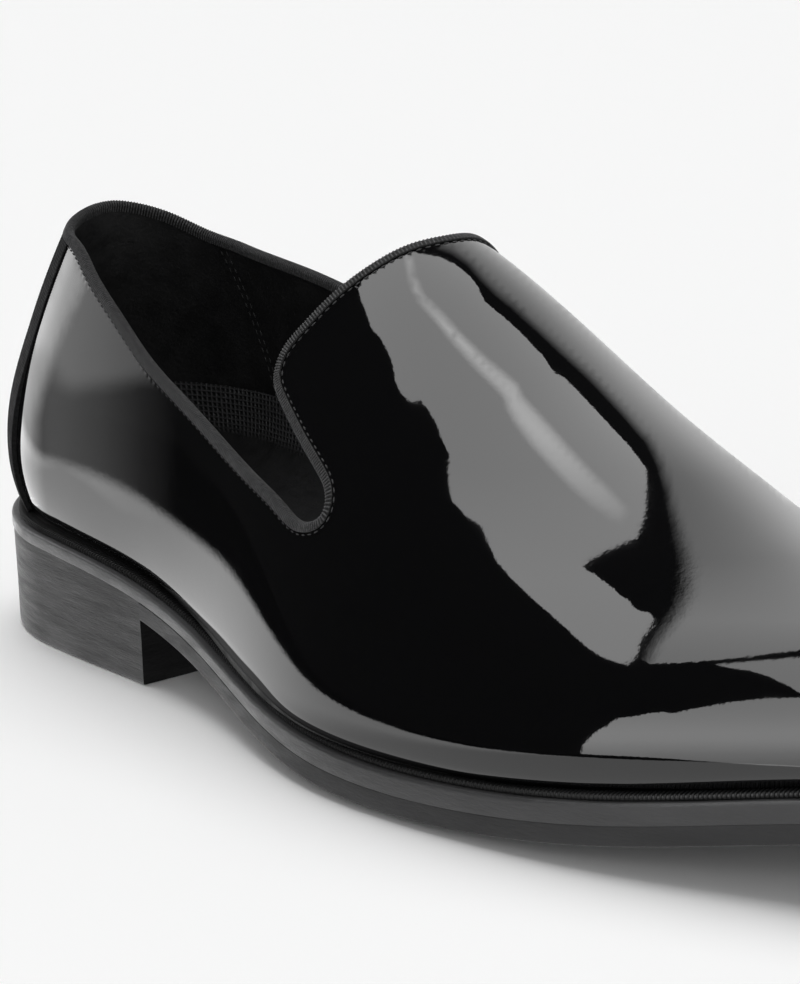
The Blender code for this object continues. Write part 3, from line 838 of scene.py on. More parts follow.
def edge_finish(name, colour, streaks, rough, shine, toe_share_past_highlight, vary):
    """Dyed and burnished edge of a sole layer, with faint streaks along it, painted lighter at the heel end
    as a painted highlight and darker towards the toe.
    """
    material, tree, shader = new_finish(name)
    link = tree.links.new
    shader.inputs["Specular IOR Level"].default_value = shine
    cloud = mottle(tree, scale=35.0, low=0.0, high=1.0, stretch=streaks, detail=6.0)
    # The heel end keeps the full colour as a painted highlight; towards the toe the colour falls to a darker
    # share
    heel_end = tinted(tree, cloud, colour, (1 - vary, 1 + vary))
    toe_end = tinted(tree, cloud, colour, ((1 - vary) * toe_share_past_highlight, (1 + vary) * toe_share_past_highlight))
    place = add_node(tree, "ShaderNodeTexCoord")
    apart = add_node(tree, "ShaderNodeSeparateXYZ")
    ahead = add_node(tree, "ShaderNodeMapRange", {"interpolation_type": "SMOOTHSTEP"},
                     {"From Min": EDGE_HIGHLIGHT_FADE[0], "From Max": EDGE_HIGHLIGHT_FADE[1]})
    blend = add_node(tree, "ShaderNodeMix", {"data_type": "RGBA"})
    ends = colour_sockets(blend.inputs)
    link(place.outputs["Object"], apart.inputs["Vector"])
    link(apart.outputs["X"], ahead.inputs["Value"])
    link(ahead.outputs["Result"], blend.inputs["Factor"])
    link(heel_end, ends[0])
    link(toe_end, ends[1])
    link(colour_sockets(blend.outputs)[0], shader.inputs["Base Color"])
    gloss = mottle(tree, scale=120.0, low=rough - EDGE_POLISH, high=rough + EDGE_DULL, stretch=streaks)
    link(gloss, shader.inputs["Roughness"])
    grain = mottle(tree, scale=500.0, low=0.0, high=1.0, stretch=streaks)
    link(bump(tree, grain, EDGE_GRAIN), shader.inputs["Normal"])
    return material


def sock_finish(colours):
    """Footbed with a woven heel sock and a smooth front, parted by a curved edge."""
    material, tree, shader = new_finish("sock")
    link = tree.links.new
    threads = []
    for direction, pitch in CLOTH_PITCH.items():
        place = add_node(tree, "ShaderNodeAttribute", {"attribute_name": direction})
        turn = add_node(tree, "ShaderNodeMath", {"operation": "MULTIPLY"})
        turn.inputs[1].default_value = 2 * np.pi / pitch
        wave = add_node(tree, "ShaderNodeMath", {"operation": "SINE"})
        link(place.outputs["Fac"], turn.inputs[0])
        link(turn.outputs["Value"], wave.inputs[0])
        threads.append(wave.outputs["Value"])
    weave = add_node(tree, "ShaderNodeMath", {"operation": "MAXIMUM"})
    link(threads[0], weave.inputs[0])
    link(threads[1], weave.inputs[1])
    area = add_node(tree, "ShaderNodeAttribute", {"attribute_name": "woven"})
    show = add_node(tree, "ShaderNodeMath", {"operation": "MULTIPLY"})
    link(weave.outputs["Value"], show.inputs[0])
    link(area.outputs["Fac"], show.inputs[1])
    mask = add_node(tree, "ShaderNodeMapRange", None, {"From Min": WEAVE_START, "From Max": 1.0})
    link(show.outputs["Value"], mask.inputs["Value"])
    cloth = tinted(tree, mask.outputs["Result"], colours.sock, SOCK_SHADES)
    link(cloth, shader.inputs["Base Color"])
    link(mottle(tree, scale=300.0, low=0.55, high=0.85), shader.inputs["Roughness"])
    normal = bump(tree, show.outputs["Value"], WEAVE_DEPTH)
    normal = bump(tree, mottle(tree, scale=900.0, low=0.0, high=1.0), SOCK_GRAIN, normal)
    link(normal, shader.inputs["Normal"])
    return material


def finish(name):
    """Returns the named finish, made when it is first asked for."""
    if name in bpy.data.materials:
        return bpy.data.materials[name]
    colours = bpy.context.scene.loafer_colours
    if name in RIBBON_FINISHES:
        source, share, *look = RIBBON_FINISHES[name]
        return ribbon_finish(name, scaled(getattr(colours, source), share), *look)
    if name in EDGE_FINISHES:
        source, share, *look = EDGE_FINISHES[name]
        return edge_finish(name, scaled(getattr(colours, source), share), *look)
    if name == "patent":
        return patent_finish(colours, bpy.context.scene.loafer_sizes)
    return {"lining": lining_finish, "sock": sock_finish}[name](colours)


# Upper

def form_grid():
    """Places of a smooth grid over the whole form in the flat pattern, with no pole on it."""
    even = np.linspace(-1, 1, UPPER_ROWS + 1)
    across = even * (1 + ROW_CROWDING - ROW_CROWDING * even**2)
    heel = -np.sin(np.linspace(np.pi / 2, 0, UPPER_HEEL_COLUMNS, endpoint=False))
    toe = np.sin(np.linspace(0, np.pi / 2, UPPER_TOE_COLUMNS + 1)[1:])
    body = np.linspace(FAN_BACK, FAN_FRONT, UPPER_BODY_COLUMNS + 1)
    ends = np.concatenate([heel, np.zeros(len(body)), toe])
    base = np.concatenate([np.full(len(heel), FAN_BACK), body, np.full(len(toe), FAN_FRONT)])
    # Each end is a square that is rounded to half a disc
    ahead = ends * np.sqrt(1 - across[:, None]**2 / 2)
    sideways = across[:, None] * np.sqrt(1 - ends**2 / 2)
    share = np.hypot(ahead, sideways)
    angle = np.arctan2(sideways, np.abs(ahead))
    angles = np.linspace(-np.pi / 2, np.pi / 2, FAN_ANGLES)
    reach = np.zeros_like(share)
    for rows, start, sign in ((ends < 0, FAN_BACK, -1), (ends > 0, FAN_FRONT, 1)):
        limit = feather_reach(np.full_like(angles, start), sign * np.cos(angles), np.sin(angles))
        reach[:, rows] = np.interp(angle[:, rows], angles, limit)
    middle = ends == 0
    for side in (LATERAL, MEDIAL):
        limit = feather_reach(body, np.zeros_like(body), np.full_like(body, side))
        rows = np.sign(across) == side
        reach[np.ix_(rows, middle)] = limit
    reach[np.ix_(across == 0, middle)] = 1.0
    safe = np.maximum(share, LEAST_REACH)
    turned = np.where(share > 0, share * reach / safe, 0)
    return base + turned * ahead, turned * sideways


def form_shell():
    """Outer and inner points of the upper over the whole form, tucked in at the lower edge."""
    along, around = form_grid()
    outside = on_upper(along, around)
    normal = unit(np.cross(np.gradient(outside, axis=1), np.gradient(outside, axis=0)))
    inside = outside - SHELL_WALL * normal
    sizes = bpy.context.scene.loafer_sizes
    tuck = sizes.tuck_height / MM * tuck_height_share(outside[..., 0])
    depth = sizes.tuck_depth / MM * tuck_depth_share(outside[..., 0])
    height = np.clip((outside[..., 2] - lower_edge(outside[..., 0])) / tuck, 0, 1)
    shift = depth * (1 - np.sqrt(1 - (1 - height)**2))
    level = unit(normal * (1, 1, 0) + (0, 0, LEAST_TILT))
    outside = outside - shift[..., None] * level
    return outside, inside, normal


CUTTER_REACH = 9.0
CUTTER_TOP = 160.0


def opening_cutter():
    """Solid whose side follows the top edge and that holds all that is cut from the form."""
    edge, normal, _, _, _ = binding_lines(TOPLINE_STEPS)
    over = edge + CUTTER_REACH * normal
    walls = np.stack([edge - CUTTER_REACH * normal, over, over * (1, 1, 0) + (0, 0, CUTTER_TOP)])
    lids = [tuple(range(TOPLINE_STEPS)), tuple(range(2 * TOPLINE_STEPS, 3 * TOPLINE_STEPS))]
    faces = ring_faces(walls, False) + lids
    return add_mesh("opening_cutter", walls, faces, [finish("patent"), finish("lining")], [1] * len(faces))


def mark_hem(mesh):
    """Stores on each point its way along the binding's lower edge and its gap from it, in millimetres."""
    _, _, _, hem, _ = binding_lines(TOPLINE_STEPS)
    line = in_metres(hem)
    way = np.concatenate([[0], np.cumsum(np.linalg.norm(np.diff(line, axis=0), axis=1))]) / MM
    tree = KDTree(len(line))
    for i, point in enumerate(line):
        tree.insert(point, i)
    tree.balance()
    ways = np.zeros(len(mesh.vertices), np.float32)
    gaps = np.zeros(len(mesh.vertices), np.float32)
    for vertex in mesh.vertices:
        _, i, gap = tree.find(vertex.co)
        run = line[(i + 1) % len(line)] - line[i - 1]
        run = run / np.linalg.norm(run)
        ways[vertex.index] = way[i] + float(np.dot(np.array(vertex.co) - line[i], run)) / MM
        gaps[vertex.index] = gap / MM
    for name, values in (("hem_way", ways), ("hem_gap", gaps)):
        mesh.attributes.new(name, "FLOAT", "POINT").data.foreach_set("value", values)


def mark_edge(mesh):
    """Stores on each point its height above the lower edge, as a share of the painted shade band's height."""
    points = np.zeros(3 * len(mesh.vertices), np.float32)
    mesh.vertices.foreach_get("co", points)
    points = points.reshape(-1, 3) / MM + MIDDLE
    rise = (points[:, 2] - lower_edge(points[:, 0])) / shade_band_height(points[:, 0])
    mesh.attributes.new("edge_rise", "FLOAT", "POINT").data.foreach_set("value", rise.astype(np.float32))


def make_upper():
    """The upper as one shell, patent outside and lined inside, cut open along the top edge."""
    outside, inside, _ = form_shell()
    rows, columns = outside.shape[:2]
    count = rows * columns
    outer = grid_faces(rows, columns)
    inner = [face[::-1] for face in grid_faces(rows, columns, count)]
    rim = grid_rim(rows, columns)
    sides = [(a, b, count + b, count + a) for a, b in zip(rim, rim[1:] + rim[:1])]
    slots = [0] * len(outer) + [1] * (len(inner) + len(sides))
    points = np.concatenate([outside.reshape(-1, 3), inside.reshape(-1, 3)])
    finishes = [finish("patent"), finish("lining")]
    upper = add_mesh("upper_shell", points, outer + inner + sides, finishes, slots)
    cutter = opening_cutter()
    cut = upper.modifiers.new("foot opening", "BOOLEAN")
    cut.operation = "DIFFERENCE"
    cut.solver = "EXACT"
    cut.object = cutter
    graph = bpy.context.evaluated_depsgraph_get()
    mesh = bpy.data.meshes.new_from_object(upper.evaluated_get(graph))
    upper.modifiers.remove(cut)
    upper.data = mesh
    bpy.data.objects.remove(cutter, do_unlink=True)
    mesh.shade_smooth()
    mesh.set_sharp_from_angle(angle=SHARP_ANGLE)
    mark_hem(mesh)
    mark_edge(mesh)
    finish_piece(upper, "upper", "upper")


# Ribbon trim

def binding_lines(count):
    """The dressed top edge and the line of the binding's lower edge below it, each with its normals."""
    along, around = topline_pattern(count)
    edge = on_upper(along, around)
    run = unit(np.roll(edge, -1, 0) - np.roll(edge, 1, 0))
    down = unit(np.cross(run, outward(along, around)))
    ahead, sideways = surface_steps(along, around)
    stretch = np.array([[np.sum(a * b, -1) for b in (ahead, sideways)] for a in (ahead, sideways)])
    share = np.array([np.sum(a * down, -1) for a in (ahead, sideways)])
    step = np.linalg.solve(np.moveaxis(stretch, -1, 0), share.T[..., None])[..., 0]
    top = (along + EDGE_DROP * step[:, 0], around + EDGE_DROP * step[:, 1])
    hem = (along + (EDGE_DROP + LEG) * step[:, 0], around + (EDGE_DROP + LEG) * step[:, 1])
    return on_upper(*top), outward(*top), down, on_upper(*hem), outward(*hem)


LEG_STEPS = 3
FOLD_STEPS = 9


def binding_path(lines, lift):
    """Rings across the binding from its outer hem over the fold to its inner hem, lifted off the upper."""
    edge, normal, down, hem, hem_normal = lines
    rings = []
    for share in np.linspace(0, 1, LEG_STEPS, endpoint=False):
        foot = hem + (edge - hem) * share
        rings.append(foot + lift * unit(hem_normal * (1 - share) + normal * share))
    middle = edge - SHELL_WALL / 2 * normal
    across = SHELL_WALL / 2 + lift
    for turn in np.linspace(0, np.pi, FOLD_STEPS):
        rings.append(middle + across * np.cos(turn) * normal - (FOLD_RISE + lift) * np.sin(turn) * down)
    for share in np.linspace(1, 0, LEG_STEPS + 1)[1:]:
        foot = hem + (edge - hem) * share
        rings.append(foot - (SHELL_WALL + lift) * unit(hem_normal * (1 - share) + normal * share))
    return np.stack(rings)


def make_binding():
    """Grosgrain ribbon folded over the whole top edge, with its ribs and the stitches along its hem."""
    sizes = bpy.context.scene.loafer_sizes
    lines = binding_lines(TOPLINE_STEPS)
    outer = binding_path(lines, RIBBON_GAP + RIBBON)
    inner = binding_path(lines, RIBBON_GAP)
    rings = np.concatenate([outer, inner[::-1]])
    ribbon = add_mesh("binding_ribbon", rings, ring_faces(rings, True), [finish("ribbon")])
    finish_piece(ribbon, "topline_binding", "topline_binding")

    edge = lines[0]
    around = np.linalg.norm(edge - np.roll(edge, 1, 0), axis=1).sum()
    count = int(around / (sizes.rib_pitch / MM))
    fine = binding_lines(count)
    path = binding_path(fine, RIBBON_GAP + RIBBON)
    ribs = add_lines("binding_ribs", [path[:, i] for i in range(count)])
    grown(ribs, rib_tree(), {"Rib radius": sizes.rib_radius, "Finish": finish("ribbon rib")})
    finish_piece(ribs, "topline_binding")

    _, _, down, hem, hem_normal = lines
    seam = hem + STITCH_LIFT * hem_normal + STITCH_DROP * down
    stitches = add_lines("binding_stitches", [np.concatenate([seam, seam[:1]])])
    size = (sizes.stitch_pitch * STITCH_SHARE, sizes.thread_radius, sizes.thread_radius)
    values = {"Pitch": sizes.stitch_pitch, "Stitch size": size, "Finish": finish("thread")}
    grown(stitches, stitch_tree(), values)
    finish_piece(stitches, "topline_binding")


def strip_reach(turn, depth):
    """Distance in front of the upper's back curve, for places across the back strip."""
    return depth * (1 - np.cos(turn * np.pi / 2))


def strip_face(rows, columns):
    """Points on the upper under the back strip and their normals."""
    _, _, _, hem, _ = binding_lines(TOPLINE_STEPS)
    behind = hem[hem[:, 0] < FAN_BACK]
    offset = behind[:, 1] - middle_line(behind[:, 0], behind[:, 2])
    across = np.sign(offset) * (behind[:, 0] - behind[:, 0].min())
    order = np.argsort(across)
    turn = np.linspace(-1, 1, columns)
    reach = np.sign(turn) * strip_reach(turn, STRIP_TOP_DEPTH)
    top = np.interp(reach, across[order], behind[order, 2]) + STRIP_OVERLAP
    low = lower_edge(0.0) + STRIP_FOOT
    height = low + (top - low) * np.linspace(0, 1, rows)[:, None]
    drop = np.clip((top - height) / STRIP_SHOULDER_DROP, 0, 1)
    depth = STRIP_TOP_DEPTH + (STRIP_DEPTH - STRIP_TOP_DEPTH) * (1 - (1 - drop)**STRIP_SHOULDER_POWER)
    x = back_of_upper(height) + strip_reach(turn, depth)
    medial, lateral = (upper_half_width(x, height, side) for side in (MEDIAL, LATERAL))
    half = np.where(turn > 0, medial, -lateral)
    face = np.stack([x, middle_line(x, height) + half, height], -1)
    normal = unit(np.cross(np.gradient(face, axis=0), np.gradient(face, axis=1)))
    return face, normal


STRIP_COLUMNS = 49
STRIP_ROWS = 60


def strip_thickness(face):
    """Thickness of the back strip, which is padded low down."""
    return STRIP_RIBBON + STRIP_PAD * eased((PAD_TOP - face[..., 2:]) / (PAD_TOP - PAD_LOW))


def make_back_strip():
    """Flat ribbon wrapped round the back of the heel, with its ribs across it."""
    sizes = bpy.context.scene.loafer_sizes
    face, normal = strip_face(STRIP_ROWS, STRIP_COLUMNS)
    thick = strip_thickness(face)
    skins = np.stack([face + RIBBON_GAP * normal, face + (RIBBON_GAP + thick) * normal])
    count = STRIP_ROWS * STRIP_COLUMNS
    faces = grid_faces(STRIP_ROWS, STRIP_COLUMNS)
    faces += [face_points[::-1] for face_points in grid_faces(STRIP_ROWS, STRIP_COLUMNS, count)]
    rim = grid_rim(STRIP_ROWS, STRIP_COLUMNS)
    faces += [(a, b, count + b, count + a) for a, b in zip(rim, rim[1:] + rim[:1])]
    strip = add_mesh("back_ribbon", skins, faces, [finish("strip")])
    finish_piece(strip, "back_strip", "back_strip")

    tall = face[-1, STRIP_COLUMNS // 2, 2] - face[0, STRIP_COLUMNS // 2, 2]
    rows = int(tall / (sizes.rib_pitch / MM))
    fine, fine_normal = strip_face(rows, STRIP_COLUMNS)
    lines = fine + (RIBBON_GAP + strip_thickness(fine) - RIB_SINK) * fine_normal
    ribs = add_lines("back_ribs", list(lines))
    grown(ribs, rib_tree(), {"Rib radius": sizes.rib_radius, "Finish": finish("strip rib")})
    finish_piece(ribs, "back_strip")


# Sole

def outline_stations(inset, start=None, end=None):
    """Places along the shoe for a ring, closer together at rounded ends."""
    turn = np.linspace(0, 1, OUTLINE_STEPS + 1)
    if start is not None:
        return start + (LENGTH - inset - start) * np.sin(turn * np.pi / 2)
    if end is not None:
        return inset + (end - inset) * (1 - np.cos(turn * np.pi / 2))
    return inset + (LENGTH - 2 * inset) * (1 - np.cos(turn * np.pi)) / 2


def sole_ring(inset, height, start=None, end=None):
    """One ring of the sole's outline at a height, and its pairs of lateral and medial points."""
    x = outline_stations(inset, start, end)
    z = height(x) if callable(height) else np.full_like(x, height)
    lateral = np.stack([x, -sole_half_width(x, LATERAL, inset), z], -1)
    medial = np.stack([x, sole_half_width(x, MEDIAL, inset), z], -1)
    first = 1 if start is None else 0
    last = len(x) - 1 if end is None else len(x)
    ring = np.concatenate([lateral, medial[first:last][::-1]])
    pairs = []
    for i in range(len(x)):
        pairs.append((i, len(ring) - 1 - (i - first) if first <= i < last else i))
    return ring, pairs


def rungs(pairs, start, turned):
    """Faces across a ring of the sole, from its lateral to its medial points."""
    faces = []
    for (a, b), (c, d) in zip(pairs[:-1], pairs[1:]):
        face = tuple(start + corner for corner in dict.fromkeys((a, c, d, b)))
        faces.append(face[::-1] if turned else face)
    return faces


def sole_layer(name, profile, material, start=None, end=None):
    """A closed layer of the sole from a profile of insets and heights, bottom to top."""
    rings = [sole_ring(inset, height, start, end) for inset, height in profile]
    pairs = rings[0][1]
    points = np.stack([ring for ring, _ in rings])
    count = points.shape[1]
    faces = rungs(pairs, 0, False) + ring_faces(points, False)
    faces += rungs(pairs, (len(rings) - 1) * count, True)
    return add_mesh(name, points, faces, [material])


def above(level, height):
    """Height function a little above another one."""
    return lambda x: level(x) + height


def tread(x):
    """Lower side of the outsole inside its edge, flat on the floor under the ball."""
    return np.maximum(SECTION["bottom"](x) - SOLE_CROWN, 0.0)


# Rounded edges of the sole's layers: inset from the outline, and height above the layer's lower edge
OUTSOLE_EDGE = ((0.6, 0.0), (0.25, 0.04), (0.08, 0.12), (0.02, 0.25), (0.0, 0.5), (0.0, 3.6))
HEEL_EDGE = ((0.6, 0.0), (0.3, 0.08), (0.2, 0.25), (0.2, 0.9), (0.3, 10.0))
OUTSOLE_TOP_INSET = 0.05
HEEL_TOP_INSET = 0.25

# Rounded edge of the midsole's band: inset from the outline, and share of the band's thickness
BAND_EDGE = ((0.9, -0.1), (0.4, -0.1), (0.1, -0.07), (0.0, 0.0), (0.0, 0.5), (0.02, 0.8), (0.08, 0.9),
             (0.25, 0.97), (0.5, 1.0), (1.0, 1.0), (1.7, 1.0))
BREAST_FACING = 0.9


def band_level(share):
    """Height function at a share of the midsole band's thickness."""
    return lambda x: midsole_base(x) + share * band_thickness(x)


def make_sole():
    """The two sole layers and the heel block, with rounded and burnished edges."""
    bottom = SECTION["bottom"]
    profile = [(CROWN_INSET, tread)] + [(inset, above(bottom, height)) for inset, height in OUTSOLE_EDGE]
    profile.append((OUTSOLE_TOP_INSET, outsole_top))
    start = HEEL_BREAST + CLEARANCE
    outsole = sole_layer("outsole_layer", profile, finish("outsole edge"), start=start)
    finish_piece(outsole, "outsole", "outsole")
    profile = [(inset, band_level(share)) for inset, share in BAND_EDGE]
    midsole = sole_layer("midsole_layer", profile, finish("midsole edge"))
    finish_piece(midsole, "midsole", "midsole")
    profile = [*HEEL_EDGE, (HEEL_TOP_INSET, outsole_top)]
    heel = sole_layer("heel_block", profile, finish("heel edge"), end=HEEL_BREAST)
    heel.data.materials.append(finish("heel breast"))
    # Faces that look ahead make the heel breast, painted dark as shade under the arch
    for face in heel.data.polygons:
        face.material_index = int(face.normal.x > BREAST_FACING)
    finish_piece(heel, "heel", "heel")


def outline_loop(inset, count):
    """Evenly spaced places round the sole's outline: points in plan and their outward directions."""
    ring, _ = sole_ring(inset, 0.0)
    closed = np.concatenate([ring, ring[:1]])
    way = np.concatenate([[0], np.cumsum(np.linalg.norm(np.diff(closed, axis=0), axis=1))])
    places = np.linspace(0, way[-1], count, endpoint=False)
    loop = np.stack([np.interp(places, way, closed[:, i]) for i in range(3)], -1)
    run = unit(np.roll(loop, -1, 0) - np.roll(loop, 1, 0))
    return loop, np.stack([run[:, 1], -run[:, 0], np.zeros(count)], -1), way[-1]


# Welt: insets of its two sides from the sole's outline, its rounded edge as inset and height above its lower
# side, and the line of one wheeled rib in the same measures
WELT_OUTER_INSET = 1.8
WELT_INNER_INSET = 8.0
WELT_PROFILE = ((0.2, 0.0), (0.0, 0.25), (0.0, 0.65), (0.2, 0.9), (0.6, WELT_EDGE))
WELT_RIB = ((2.4, WELT_EDGE), (0.6, WELT_EDGE), (0.15, 0.85), (0.0, 0.55), (0.0, 0.2))


def make_welt():
    """Thin strip all round under the upper, with wheeled ribs across its edge."""
    sizes = bpy.context.scene.loafer_sizes
    profile = [(WELT_OUTER_INSET + inset, above(seam_base, height)) for inset, height in WELT_PROFILE]
    profile += [(WELT_INNER_INSET, seam_top), (WELT_INNER_INSET, seam_base)]
    rings = np.stack([sole_ring(inset, height)[0] for inset, height in profile])
    strip = add_mesh("welt_strip", rings, ring_faces(rings, True), [finish("welt")])
    finish_piece(strip, "welt", "welt")

    _, _, around = outline_loop(WELT_OUTER_INSET, 2 * OUTLINE_STEPS)
    count = int(around / (sizes.welt_pitch / MM))
    loop, out, _ = outline_loop(WELT_OUTER_INSET, count)
    lines = []
    for point, away in zip(loop, out):
        base = seam_base(point[0])
        lines.append(np.array([point - inset * away + (0, 0, base + height) for inset, height in WELT_RIB]))
    ribs = add_lines("welt_ribs", lines)
    grown(ribs, rib_tree(), {"Rib radius": sizes.welt_rib_radius, "Finish": finish("welt rib")})
    finish_piece(ribs, "welt")


# Footbed: inset from the lining and share of the cup's height, from its underside over the lip to the seat
CUP = ((3.0, -0.1), (1.0, 0.3), (0.6, 0.9), (0.75, 0.98), (1.1, 1.0), (1.5, 0.97), (2.0, 0.86),
       (2.8, 0.66), (3.8, 0.46), (5.2, 0.28), (7.0, 0.14), (9.5, 0.05), (13.0, 0.01), (18.0, 0.0))
CUP_HEEL = 14.5
CUP_TOE = 2.5
CUP_START = 85.0
CUP_END = 165.0
CLOTH_RING = 7
INSOLE_THICK = 2.2
PAD_SHARE = 0.42
PAD_EDGE = 0.06
SOCK_END = 112.0
SOCK_EDGE = 8.0


def cup_height(x):
    """How far the footbed's rim stands above its seat."""
    return CUP_HEEL + (CUP_TOE - CUP_HEEL) * eased((x - CUP_START) / (CUP_END - CUP_START))


def cup_ring(inset, share):
    """One ring of the footbed, at an inset from the lining."""
    seat = welt_top(0.0) + INSOLE_THICK
    back = back_of_upper(seat + cup_height(0.0) * share) + SHELL_WALL + inset
    front = LENGTH - FEATHER_INSET - SHELL_WALL - inset
    turn = np.linspace(0, 1, OUTLINE_STEPS + 1)
    x = back + (front - back) * (1 - np.cos(turn * np.pi)) / 2
    z = welt_top(x) + INSOLE_THICK + cup_height(x) * share
    sides = []
    for side in (LATERAL, MEDIAL):
        closing = end_closing(x, back_of_upper(z), LENGTH - FEATHER_INSET)
        full = upper_half_width(x, z, side) / np.maximum(closing, LEAST_REACH)
        half = (full - SHELL_WALL - inset) * end_closing(x, back, front)
        sides.append(np.stack([x, middle_line(x, z) + side * np.maximum(half, 0), z], -1))
    ring = np.concatenate([sides[0], sides[1][1:-1][::-1]])
    pairs = [(i, len(ring) - i if 0 < i < len(x) - 1 else i) for i in range(len(x))]
    return ring, pairs


def make_insole():
    """Footbed with a cupped rim in woven cloth round the heel and a smooth pad on its seat."""
    rings = [cup_ring(inset, share) for inset, share in CUP]
    points = np.stack([ring for ring, _ in rings])
    count = points.shape[1]
    faces = rungs(rings[0][1], 0, False) + ring_faces(points, False)
    faces += rungs(rings[-1][1], (len(rings) - 1) * count, True)
    way = np.cumsum(np.linalg.norm(np.diff(points, axis=1, prepend=points[:, :1]), axis=2), axis=1)
    way = np.broadcast_to(way[CLOTH_RING], way.shape)
    rise = np.cumsum(np.linalg.norm(np.diff(points, axis=0, prepend=points[:1]), axis=2), axis=0)
    share = (points[..., 2] - welt_top(points[..., 0]) - INSOLE_THICK) / cup_height(points[..., 0])
    woven = eased((share - PAD_SHARE) / PAD_EDGE + 0.5)
    woven = woven * eased((SOCK_END - points[..., 0]) / SOCK_EDGE + 0.5)
    sock = add_mesh("sock", points, faces, [finish("sock")])
    near = KDTree(points.shape[0] * count)
    for i, point in enumerate(in_metres(points)):
        near.insert(point, i)
    near.balance()
    origin = [near.find(vertex.co)[1] for vertex in sock.data.vertices]
    for name, values in (("cloth_way", way), ("cloth_rise", rise), ("woven", woven)):
        kept = values.ravel()[origin].astype(np.float32)
        sock.data.attributes.new(name, "FLOAT", "POINT").data.foreach_set("value", kept)
    finish_piece(sock, "insole", "insole")


# Seam of the lining in millimetres: rows and their spacing, top and low end, place of the top and its lean
LINING_ROWS = 2
LINING_ROW_SPACING = 1.6
LINING_SEAM_TOP = 78.0
LINING_SEAM_LOW = 40.0
LINING_SEAM_PLACE = 32.2
LINING_SEAM_LEAN = 0.2
LINING_SEAM_STEPS = 21
LINING_SEAM_LIFT = 0.1

# Stitches of the lining in metres
LINING_STITCH = 0.0007
LINING_PITCH = 0.0021


def make_lining_seam():
    """Rows of stitches down the lining of both quarters."""
    sizes = bpy.context.scene.loafer_sizes
    lines = []
    for side in (LATERAL, MEDIAL):
        for row in range(LINING_ROWS):
            z = np.linspace(LINING_SEAM_TOP, LINING_SEAM_LOW, LINING_SEAM_STEPS)
            x = LINING_SEAM_PLACE + (LINING_SEAM_TOP - z) * LINING_SEAM_LEAN + LINING_ROW_SPACING * row
            half = upper_half_width(x, z, side) - SHELL_WALL - LINING_SEAM_LIFT
            lines.append(np.stack([x, middle_line(x, z) + side * half, z], -1))
    stitches = add_lines("lining_stitches", lines)
    size = (LINING_STITCH, sizes.thread_radius, sizes.thread_radius)
    grown(stitches, stitch_tree(), {"Pitch": LINING_PITCH, "Stitch size": size, "Finish": finish("thread")})
    finish_piece(stitches, "upper")


# Stage

# Softboxes are cut to the outlines that their mirror images have on the upper, in pixels of the picture
VAMP_BOX = (
    (358, 288), (361, 300), (366, 312), (371, 328), (380, 338), (388, 352), (393, 366), (395, 380),
    (400, 392), (406, 399), (412, 402), (421, 401), (430, 412), (437, 425), (443, 442), (449, 453),
    (448, 470), (448, 485), (451, 500), (458, 507), (466, 517), (480, 525), (486, 537), (491, 550),
    (497, 562), (510, 577), (525, 592), (540, 605), (555, 618), (570, 632), (585, 646), (600, 656),
    (614, 662), (626, 665), (632, 662), (637, 655), (640, 645), (645, 635), (652, 625), (655, 620),
    (650, 613), (640, 611), (633, 607), (628, 600), (620, 595), (612, 587), (602, 580), (596, 575),
    (582, 567), (590, 560), (605, 551), (620, 545), (636, 539), (640, 530), (645, 515), (646, 500),
    (647, 485), (647, 470), (640, 460), (630, 447), (620, 436), (605, 420), (590, 404), (575, 388),
    (563, 377), (555, 373), (548, 364), (545, 358), (530, 342), (515, 327), (500, 314), (490, 306),
    (484, 300), (478, 287), (470, 276), (455, 264), (440, 257), (425, 254), (408, 252), (395, 258),
    (380, 266), (366, 276))
STREAK_LINE = ((408, 256, 6), (413, 280, 7), (420, 297, 7), (440, 318, 8), (460, 342, 9), (480, 362, 10),
               (497, 378, 11), (510, 390, 12), (516, 404, 13), (526, 418, 15), (541, 436, 16), (560, 457, 16),
               (580, 478, 16), (600, 497, 15), (615, 510, 13), (628, 518, 10))
BACKDROP_EDGE = (
    (436, 250), (452, 256), (466, 266), (480, 282), (494, 296), (510, 309), (540, 336), (560, 355),
    (590, 383), (620, 415), (645, 444), (656, 468), (662, 490), (667, 515), (672, 540), (676, 565),
    (676, 588), (670, 606), (660, 622), (648, 640), (640, 658))
BACKDROP = (
    *BACKDROP_EDGE, (650, 664), (680, 663), (720, 660), (760, 655), (800, 650), (835, 647), (880, 646),
    (930, 654), (968, 672), (988, 664), (960, 630), (930, 602), (900, 578), (870, 556), (845, 538),
    (810, 510), (750, 456), (710, 420), (650, 364), (610, 327), (570, 288), (550, 271), (520, 245),
    (500, 236), (470, 236), (445, 240))
TOE_SPLINTER = (
    (716, 665), (740, 662), (800, 657), (835, 653), (880, 652), (925, 662), (905, 690), (865, 697),
    (835, 698), (800, 693), (790, 687), (770, 677), (750, 671), (735, 669))
TOE_BOX = (
    (581, 754), (584, 744), (590, 737), (598, 730), (607, 725), (618, 718), (630, 717), (645, 714),
    (660, 712), (675, 713), (690, 709), (710, 706), (730, 702), (750, 700), (770, 698), (800, 698),
    (835, 699), (870, 701), (905, 706), (935, 716), (942, 735), (920, 752), (880, 764), (835, 769),
    (800, 767), (760, 765), (730, 763), (700, 761), (660, 758), (620, 756))
BACK_BOX = ((62, 240), (48, 280), (30, 320), (18, 360), (6, 400), (2, 440), (6, 480), (18, 512),
            (30, 522), (46, 522), (50, 500), (46, 480), (43, 450), (43, 420), (47, 400), (54, 380),
            (61, 355), (67, 340), (76, 318), (86, 296), (92, 280), (80, 240))
